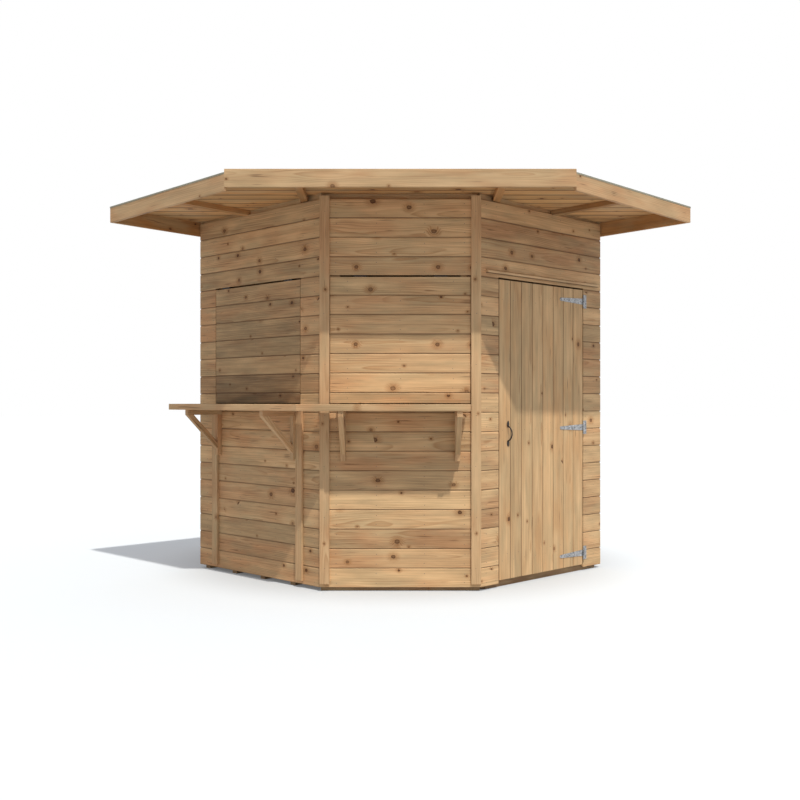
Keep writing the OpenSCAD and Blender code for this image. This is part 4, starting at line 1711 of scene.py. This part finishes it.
@dataclass
class Door:
    """The boarded door with its ledges, braces and ironmongery."""

    finishes: Finishes
    ledge_h: float = 0.095
    ledge_in: float = 0.050
    ledge_end: float = 0.050
    sill_h: float = 0.012
    hinge_t: float = 0.0025
    hinge_in: float = 0.074
    pull_in: float = 0.082
    pull_z: float = 0.897
    pull_screw: float = 0.067
    pull_plate_t: float = 0.003
    drip_out: float = 0.020
    drip_in: float = 0.045
    drip_up: float = 0.017
    drip_groove: float = 0.003
    nail_r: float = 2 * MM
    nail_places: tuple[Pair, ...] = ((0.28, 0.3), (0.72, 0.7))
    brace_start: float = 0.2
    brace_reach: float = 1.5
    brace_thinner: float = 0.3 * MM
    strap_screws: tuple[float, ...] = (0.034, 0.093, 0.150, 0.205)
    plate_screw: Pair = (0.021, 0.031)
    hinge_screw_r: float = 3.6 * MM
    pull_screw_r: float = 2.6 * MM

    def build(self) -> None:
        """Makes the door's pieces and dresses its ironmongery."""
        self.boards()
        self.ledges()
        self.drip_mould()
        self.ironmongery()

    @property
    def low(self) -> float:
        """Lower edge of the lowest ledge."""
        return PLAN.floor_z + self.sill_h + self.ledge_end

    @property
    def rise(self) -> float:
        """Distance from one ledge to the next."""
        return (PLAN.leaf_top - self.ledge_end - self.ledge_h - self.low) / 2

    def boards(self) -> None:
        """Makes the upright boards and the nails into the ledges."""
        p = PLAN
        timbers, nails = Timbers("door_leaf_boards"), Fixings("door_nails")
        pitch = p.door_w / p.door_boards
        for i in range(p.door_boards):
            u = p.door_u + i * pitch
            place = standing(u, 0.0, p.door_z)
            timbers.board(Face.RIGHT, place, p.leaf_top - p.door_z, v_board(pitch, p.clad_t))
            for level in range(3):
                for across, up in self.nail_places:
                    z = self.low + level * self.rise + up * self.ledge_h
                    spot = Vector((u + across * pitch, 0.0, z))
                    nails.head(Face.RIGHT, spot, OUTWARD, self.nail_r, Head.NAIL)
        timbers.piece(self.finishes.door, "door_timber", "door", ("door_boards",))
        nails.piece(self.finishes.nail, "hinge_steel", "door")

    def ledges(self) -> None:
        """Makes the three ledges and two braces across the back."""
        p = PLAN
        timbers = Timbers("door_ledges_and_braces")
        free, hinge = p.door_u + self.ledge_in, p.door_u + p.door_w - self.ledge_in
        for i in range(3):
            place = lying(free, p.clad_t, self.low + i * self.rise)
            timbers.board(Face.RIGHT, place, hinge - free, eased(0.0, p.rail_t, 0.0, self.ledge_h, 2 * MM))
        for i in range(2):
            z0, z1 = self.low + i * self.rise + self.ledge_h, self.low + (i + 1) * self.rise
            along = Vector((free + self.ledge_h - hinge, 0, z1 - z0)).normalized()
            across = Vector((along.z, 0, -along.x))
            start = Vector((hinge - self.ledge_h, p.clad_t, z0)) - along * self.brace_start
            section = eased(0.0, p.rail_t - self.brace_thinner, 0.0, self.ledge_h * along.z, 2 * MM)
            cuts = [cut_at(2, z0, False), cut_at(2, z1, True)]
            place = axes(start, along, (0, 1, 0), across)
            timbers.board(Face.RIGHT, place, self.brace_reach, section, cuts)
        timbers.piece(self.finishes.door, "door_timber", "door", ("door_ledges",))

    def drip_mould(self) -> None:
        """Makes the strip that throws the rain off the door: a sloping top, and a groove under it."""
        p = PLAN
        timbers = Timbers("door_drip_strip")
        place = lying(self.drip_in, 0.0, p.head_z + self.drip_up)
        out, high, deep, clear = self.drip_out, p.drip_h, self.drip_groove, 0.05 * MM
        groove = [(-0.4 * out, 0.0), (-0.45 * out, deep), (-0.65 * out, deep), (-0.7 * out, 0.0)]
        nose = [(-0.9 * out, 0.0), (-out, 0.1 * high), (-out, 0.55 * high), (-0.92 * out, 0.66 * high)]
        section = [(-clear, 0.0), *groove, *nose, (-clear, high)]
        timbers.board(Face.RIGHT, place, p.side_w - 2 * self.drip_in, section)
        timbers.piece(self.finishes.drip, "trim_timber", "hut", ("door_drip_mould",))

    def ironmongery(self) -> None:
        """Dresses the hinges and the handle, and adds their screws."""
        p = PLAN
        dress("door_hinge_plates", self.finishes.galvanised)
        dress("door_hinge_straps", self.finishes.galvanised)
        dress("door_handle", self.finishes.black_iron)
        pin_u = p.door_u + p.door_w + p.side_gap / 2
        heights = (p.door_z + self.hinge_in, (p.door_z + p.leaf_top) / 2, p.leaf_top - self.hinge_in)
        straps, plates, pull = Fixings("strap_screws"), Fixings("plate_screws"), Fixings("handle_screws")
        beside, apart = self.plate_screw
        for z in heights:
            for back in self.strap_screws:
                spot = Vector((pin_u - back, -self.hinge_t, z))
                straps.head(Face.RIGHT, spot, OUTWARD, self.hinge_screw_r, Head.SCREW)
            for side in (-1, 1):
                spot = Vector((pin_u + beside, -self.hinge_t, z + side * apart))
                plates.head(Face.RIGHT, spot, OUTWARD, self.hinge_screw_r, Head.SCREW)
        for side in (-1, 1):
            spot = Vector((p.door_u + self.pull_in, -self.pull_plate_t, self.pull_z + side * self.pull_screw))
            pull.head(Face.RIGHT, spot, OUTWARD, self.pull_screw_r, Head.SCREW)
        straps.piece(self.finishes.nail, "hinge_steel", "door")
        plates.piece(self.finishes.nail, "hinge_steel", "hut")
        pull.piece(self.finishes.black_iron, "black_iron", "door")


def dress(node: str, material: bpy.types.Material) -> None:
    """Gives a CAD node that stays in view its finish.

    Args:
        node: Name of the node.
        material: Its finish.
    """
    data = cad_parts[node].data
    data.materials.clear()
    data.materials.append(material)
    log.info("%s: dressed in %s", node, material.name)


@dataclass
class Hatch:
    """A boarded hatch on a frame of rails, hung at its top; weathering darkens its boards downwards."""

    finishes: Finishes
    name: str
    face: Face
    u: float
    width: float
    lap: float = 0.0
    foot: float = 1.078
    weathering: float = 0.0
    first_joint: float = 1.1402
    rail: float = 0.070
    nail_r: float = 2.2 * MM
    nail_inset: float = 0.012

    def build(self) -> None:
        """Makes the hatch."""
        body = f"{self.name}_leaf"
        timbers = Timbers(f"{self.name}_boards")
        nails = Fixings(f"{self.name}_nails")
        section = shiplap(PLAN.board_pitch, PLAN.clad_t - PLAN.lap_gap)
        low = self.first_joint - PLAN.board_pitch
        cuts = [cut_at(2, self.foot, False), cut_at(2, PLAN.leaf_top, True)]
        while low < PLAN.leaf_top:
            drawn = timbers.growth()
            wear = self.weathering * (PLAN.leaf_top - low) / (PLAN.leaf_top - self.foot)
            growth = replace(drawn, brightness=drawn.brightness - wear)
            place = lying(self.u - self.lap, 0.0, low)
            timbers.board(self.face, place, self.width + 2 * self.lap, section, cuts, growth)
            self.nail_row(nails, low)
            low += PLAN.board_pitch
        timbers.piece(self.finishes.cladding, "cladding", body, (self.name,))
        nails.piece(self.finishes.nail, "hinge_steel", body)
        self.rails(body)
        dress(f"{self.name}_hinges", self.finishes.black_iron)

    def nail_row(self, nails: Fixings, low: float) -> None:
        """Nails one row of boards to the uprights.

        Args:
            nails: The hatch's nails.
            low: Lower edge of the row.
        """
        edge = PLAN.side_gap + self.rail / 2
        for u in (self.u + edge, self.u + self.width / 2, self.u + self.width - edge):
            for share in NAIL_SHARES:
                z = low + share * PLAN.board_pitch
                if self.foot + self.nail_inset < z < PLAN.leaf_top - self.nail_inset:
                    spot = Vector((u + nails.stray(), 0.0, z))
                    nails.head(self.face, spot, OUTWARD, self.nail_r, Head.NAIL)

    def rails(self, body: str) -> None:
        """Makes the frame of rails behind the boards.

        Args:
            body: The hatch's body.
        """
        p, edge, w = PLAN, PLAN.side_gap, self.rail
        timbers = Timbers(f"{self.name}_rails")
        low, high = self.foot + edge, p.leaf_top
        section = eased(0.0, p.rail_t, 0.0, w, 2 * MM)
        v = p.clad_t - p.lap_gap
        for z in (low, high - w):
            timbers.board(self.face, lying(self.u + edge, v, z), self.width - 2 * edge, section)
        for u in (self.u + edge, self.u + (self.width - w) / 2, self.u + self.width - edge - w):
            timbers.board(self.face, standing(u, v, low + w), high - low - 2 * w, section)
        timbers.piece(self.finishes.framing, "framing", body)


# ---- Roof ----


@dataclass
class Roof:
    """Rafters, boards, felt and fascias."""

    finishes: Finishes
    rafter_w: float = 0.045
    rafter_d: float = 0.030
    rafter_x: float = 0.561
    lookout_u: float = 0.700
    fascia_h: float = 0.097
    lift: float = 0.019
    felt_hem: float = 0.008
    first_groove: float = 0.0663
    gap: float = 0.05 * MM
    clear: float = 0.1 * MM
    reach: float = 2.0
    chamfer: float = 2.6 * MM
    boards_before: int = 5
    rafter_reach: float = 3.0
    lookout_reach: float = 1.6
    spare: float = 0.1
    strip_w: float = 0.95
    last_strip_w: float = 1.1
    strip_lap: float = 0.075
    lap_rise: float = 0.02
    felt_nail_step: float = 0.1
    felt_nail_margin: float = 0.03
    felt_nail_r: float = 4 * MM
    felt_nail_sunk: float = 0.9 * MM
    felt_nail_stray: float = 6 * MM

    def build(self) -> None:
        """Makes the roof's pieces."""
        self.rafters()
        self.lookouts()
        self.boards()
        self.felt()
        self.fascias()

    def rafters(self) -> None:
        """Makes the three rafters."""
        p, w = PLAN, self.rafter_w
        inner = p.outline(p.over_front - p.fascia_t, p.side_face, -p.clad_t)
        timbers = Timbers("rafters")
        front = -p.over_front + p.fascia_t
        for x, y in ((-self.rafter_x, front), (0.0, p.wall_t), (self.rafter_x, front)):
            place = along_roof(x, y, (0, 1), True)
            section = eased(-w / 2, w / 2, -self.rafter_d, -self.clear)
            cuts = [*plan_cuts(inner), roof_plane(0)]
            timbers.board(Face.PLAN, place, self.rafter_reach, section, cuts)
        timbers.piece(self.finishes.rafter, "roof_timber", "hut", ("roof_rafters",))

    def lookouts(self) -> None:
        """Makes the timber on each side that carries the overhang."""
        p, w = PLAN, self.rafter_w
        timbers = Timbers("lookouts")
        out = p.side_face - p.fascia_t - self.gap
        for side in (-1, 1):
            along = self.lookout_u * DIAGONAL
            x = p.half_front + along + out * DIAGONAL
            place = along_roof(side * x, along - out * DIAGONAL, (-side, 1), True)
            inside = Cut(Vector((side * (self.rafter_x + w / 2), 0, 0)), Vector((-side, 0, 0)))
            back = plan_cuts(p.outline(p.over_front, out, 0.0))
            section = eased(-w / 2, w / 2, -self.rafter_d, -self.clear)
            timbers.board(Face.PLAN, place, self.lookout_reach, section, [inside, *back])
        timbers.piece(self.finishes.rafter, "roof_timber", "hut", ("roof_lookouts",))

    def outer_plan(self) -> list[Vector]:
        """The roof's plan at the faces of its fascias."""
        return PLAN.outline(PLAN.over_front, PLAN.side_face, PLAN.back_face)

    def inner_plan(self) -> list[Vector]:
        """The roof's plan inside its fascias."""
        p = PLAN
        return p.outline(p.over_front - p.fascia_t, p.side_face - p.fascia_t, p.back_face - p.fascia_t)

    def boards(self) -> None:
        """Makes the roof boards, grooved side down, which run from side to side."""
        p = PLAN
        timbers = Timbers("roof_deck")
        corners = self.inner_plan()
        cuts = plan_cuts(corners)
        up, reach = roof_plane(0).normal, self.reach
        section = v_board(p.board_pitch, p.deck_t, self.chamfer)
        y = self.first_groove - self.boards_before * p.board_pitch
        while y < corners[3].y:
            place = axes((-reach, y, p.underside(y)), (1, 0, 0), up, (0, up.z, -up.y))
            timbers.board(Face.PLAN, place, 2 * reach, section, cuts)
            y += p.board_pitch
        timbers.piece(self.finishes.roof, "roof_timber", "hut", ("roof_boards",))

    def felt(self) -> None:
        """Lays three strips of felt, each lapped over the next, with a row of nails and a turned edge."""
        p = PLAN
        corners = p.outline(p.over_front - p.fascia_t, p.over_side, p.over_back)
        cuts = [*plan_cuts(corners), roof_plane(p.deck_t + p.felt_t)]
        up = roof_plane(0).normal
        down = Vector((0, math.cos(p.roof_fall), -math.sin(p.roof_fall)))
        mesh, nails = Timbers("roof_covering"), Fixings("felt_nails")
        lap, lift = self.strip_lap, self.clear
        single = (p.felt_t - lift) / 2
        start = corners[0].y
        for i in range(3):
            y = start + i * (self.strip_w - lap)
            origin = Vector((-self.reach, y, p.underside(y))) + up * (p.deck_t + lift)
            width = self.strip_w if i < 2 else self.last_strip_w
            section = [(0.0, 0.0), (single, 0.0), (single, width - lap), (0.9 * single, width), (0.0, width)]
            if i < 2:
                section = [(0.0, 0.0), (single, 0.0), (single, width - lap - self.lap_rise)]
                section += [(2 * single, width - lap), (2 * single, width), (single, width)]
                section += [(0.0, width - lap)]
            mesh.board(Face.PLAN, axes(origin, (1, 0, 0), up, down), 2 * self.reach, section, cuts)
            if i < 2:
                self.nail_lap(nails, corners, y + width - lap / 2, up)
        for a, b in ((1, 2), (2, 3)):
            inner = self.outer_plan()
            hem = [corners[a], corners[b], inner[b], inner[a]]
            section = eased(0.0, p.felt_t, -self.felt_hem, p.felt_t, 0.5 * MM)
            for side in (1, -1):
                self.edging(mesh, hem, p.deck_t, section, side)
        mesh.piece(self.finishes.felt, "roof_felt", "hut", ("roof_felt",))
        nails.piece(self.finishes.nail, "hinge_steel", "hut")

    def nail_lap(self, nails: Fixings, corners: list[Vector], y: float, up: Vector) -> None:
        """Nails down one lap of the felt.

        Args:
            nails: The felt's nails.
            corners: The roof's plan at the felt's edge.
            y: Where the lap is, behind the front wall.
            up: The direction in which the roof looks.
        """
        p = PLAN
        widest = corners[2].y
        if y < widest:
            share = (y - corners[1].y) / (widest - corners[1].y)
            half = corners[1].x + (corners[2].x - corners[1].x) * share
        else:
            half = corners[2].x * (corners[3].y - y) / (corners[3].y - widest)
        count = int((half - self.felt_nail_margin) / self.felt_nail_step)
        level = p.deck_t + p.felt_t - self.felt_nail_sunk
        for i in range(-count, count + 1):
            x = i * self.felt_nail_step + nails.stray(self.felt_nail_stray)
            spot = Vector((x, y, p.underside(y))) + up * level
            nails.head(Face.PLAN, spot, up, self.felt_nail_r, Head.NAIL)

    def edging(
        self, timbers: Timbers, corners: list[Vector], height: float, section: Section, side: int
    ) -> None:
        """Adds one board that runs round the roof's edge, in its slope and with its face upright.

        Args:
            timbers: The piece that takes the board.
            corners: Its plan on the right side, counter-clockwise, the outer side first.
            height: Height of the section's zero above the roof's underside.
            section: Its cross-section, inwards and up.
            side: 1 for the right side or the front, -1 for the mirror image on the left.
        """
        p = PLAN
        plan = [Vector((side * c.x, c.y, 0)) for c in corners]
        cuts = plan_cuts(plan if side > 0 else plan[::-1])
        run = plan[1] - plan[0]
        direction = run.normalized()
        fall = Vector((direction.x, direction.y, -direction.y * math.tan(p.roof_fall)))
        inward = Vector((-direction.y, direction.x, 0)) * side
        upright = fall.cross(inward) * side
        begin = plan[0] - direction * self.spare
        origin = Vector((begin.x, begin.y, p.underside(begin.y) + height / math.cos(p.roof_fall)))
        length = run.length + 2 * self.spare
        timbers.board(Face.PLAN, axes(origin, fall, inward, upright), length, section, cuts)

    def fascias(self) -> None:
        """Makes the five fascias, mitered at the corners."""
        p = PLAN
        outer, inner = self.outer_plan(), self.inner_plan()
        section = eased(0.0, p.fascia_t, -self.fascia_h, 0.0, 2 * MM)
        back_nodes = ("back_left_fascia", "back_right_fascia")
        edges = (
            ("front_roof_edge", 0, self.lift, (1,), self.finishes.trim, ("front_fascia",)),
            ("side_roof_edges", 1, 0.0, (1, -1), self.finishes.trim, ("side_fascias",)),
            # painted shade: the back fascias take the darker rafter finish, for the shade on their inner
            # faces under the roof
            ("back_roof_edges", 2, 0.0, (1, -1), self.finishes.rafter, back_nodes),
        )
        for name, first, lift, sides, finish, nodes in edges:
            timbers = Timbers(name)
            corners = [outer[first], outer[first + 1], inner[first + 1], inner[first]]
            for side in sides:
                self.edging(timbers, corners, p.deck_t + lift, section, side)
            timbers.piece(finish, "roof_timber", "hut", nodes)


# ---- Studio ----


@dataclass
class Studio:
    """The floor, the light and the camera."""

    sun_strength: float = 2.7
    sun_towards: Triple = (0.39, -1.0, 1.84)
    sun_size: float = 1.2
    sun_colour: Triple = (1.0, 0.965, 0.90)
    sky_left: Triple = (0.395, 0.405, 0.43)
    sky_right: Triple = (0.70, 0.72, 0.76)
    floor_half: float = 60.0
    floor_drop: float = 0.5 * MM
    floor_seen: Triple = (0.70, 0.74, 0.775)
    floor_glow: float = 0.12
    floor_bounce: float = 0.52
    # painted shade on the floor: its middle, the distances over which it fades out, and how much darker it is
    # at its darkest
    shade_middle: float = 0.3
    shade_reach: Pair = (1.1, 1.75)
    shade_depth: float = 0.26
    lens: float = 46.125
    camera: Triple = (0.0, -6.770, 1.093)
    shift: Pair = (-0.0004, 0.000625)

    def build(self) -> None:
        """Makes the studio."""
        self.world()
        self.sun()
        self.floor()
        self.eye()

    def is_seen(self, bench: NodeBench) -> bpy.types.NodeSocket:
        """Whether a ray shows a surface to the camera, straight or in metal and glass.

        Args:
            bench: The bench of the tree that needs to know.

        Returns:
            1 for such a ray, and 0 for one that carries light to something else.
        """
        path = bench.add("ShaderNodeLightPath").outputs
        some = bench.plus(path["Is Camera Ray"], path["Is Glossy Ray"])
        return bench.math("ADD", some, path["Is Transmission Ray"], clamp=True)

    def world(self) -> None:
        """Makes the soft sky, a little brighter on the right, which shows as plain white."""
        world = bpy.data.worlds.new("sky")
        bpy.context.scene.world = world
        world.use_nodes = True
        bench = NodeBench(world.node_tree)
        background = world.node_tree.nodes["Background"]
        direction = bench.add("ShaderNodeTexCoord").outputs["Generated"]
        side = bench.ramp(bench.parts(direction)[0], -1.0, 1.0)
        sky = bench.mix(side, (*self.sky_left, 1.0), (*self.sky_right, 1.0))
        colour = bench.mix(self.is_seen(bench), sky, (1.0, 1.0, 1.0, 1.0))
        world.node_tree.links.new(colour, background.inputs["Color"])

    def sun(self) -> None:
        """Makes the one lamp."""
        lamp = bpy.data.lights.new("sun", "SUN")
        lamp.energy = self.sun_strength
        lamp.angle = math.radians(self.sun_size)
        lamp.color = self.sun_colour
        made = bpy.data.objects.new("sun", lamp)
        made.rotation_euler = Vector(self.sun_towards).to_track_quat("Z", "Y").to_euler()
        bpy.context.scene.collection.objects.link(made)

    def floor(self) -> None:
        """Makes the pale floor, which keeps the building's shadow and has a painted shade in a soft ring
        round the building.
        """
        mesh = bmesh.new()
        bmesh.ops.create_grid(mesh, x_segments=8, y_segments=8, size=self.floor_half)
        data = bpy.data.meshes.new("studio_floor")
        mesh.to_mesh(data)
        mesh.free()
        material, bench, shader = new_material("studio_floor")
        seen = self.is_seen(bench)
        # painted shade: the floor as the camera sees it is darker in a soft ring round the building
        place = bench.add("ShaderNodeTexCoord").outputs["Object"]
        middle = (0.0, self.shade_middle, 0.0)
        away = bench.add("ShaderNodeVectorMath", {0: place, 1: middle}, operation="DISTANCE").outputs["Value"]
        level = bench.ramp(away, *self.shade_reach, 1.0 - self.shade_depth, 1.0)
        pale = bench.mix(1.0, bench.grey(level), (*self.floor_seen, 1.0), "MULTIPLY")
        plain = (self.floor_bounce,) * 3 + (1.0,)
        bench.tree.links.new(bench.mix(seen, plain, pale), shader.inputs["Base Color"])
        glow = bench.times(seen, self.floor_glow)
        bench.tree.links.new(glow, shader.inputs["Emission Strength"])
        shader.inputs["Emission Color"].default_value = (1.0, 1.0, 1.0, 1.0)
        shader.inputs["Roughness"].default_value = 1.0
        shader.inputs["Specular IOR Level"].default_value = 0.0
        data.materials.append(material)
        made = bpy.data.objects.new("studio_floor", data)
        made.location.z = -self.floor_drop
        bpy.context.scene.collection.objects.link(made)

    def eye(self) -> None:
        """Makes the camera, level in front of the building."""
        camera = bpy.data.cameras.new("camera")
        camera.lens = self.lens
        camera.shift_x, camera.shift_y = self.shift
        made = bpy.data.objects.new("camera", camera)
        made.location = self.camera
        made.rotation_euler = (math.radians(90), 0.0, 0.0)
        bpy.context.scene.collection.objects.link(made)
        bpy.context.scene.camera = made
        bpy.context.scene.view_settings.view_transform = "Standard"


def main() -> None:
    """Builds the pieces in order."""
    logging.basicConfig(level=logging.INFO, format="%(name)s: %(message)s")
    p = PLAN
    finishes = Finishes()
    Floor(finishes).build()
    for wall in all_walls(finishes):
        wall.build()
    trims = Trims(finishes)
    trims.build()
    ServingShelf(finishes).build(trims.batten_middles())
    Door(finishes).build()
    lap = p.hatch_lap + p.side_gap
    Hatch(finishes, "front_hatch", Face.FRONT, p.front_hatch_u, p.front_hatch_w, lap).build()
    Hatch(finishes, "left_hatch", Face.LEFT, p.left_hatch_u, p.left_hatch_w, weathering=1.0).build()
    dress("hatch_hinge_leaves", finishes.black_iron)
    Roof(finishes).build()
    Studio().build()


if __name__ == "__main__":
    main()
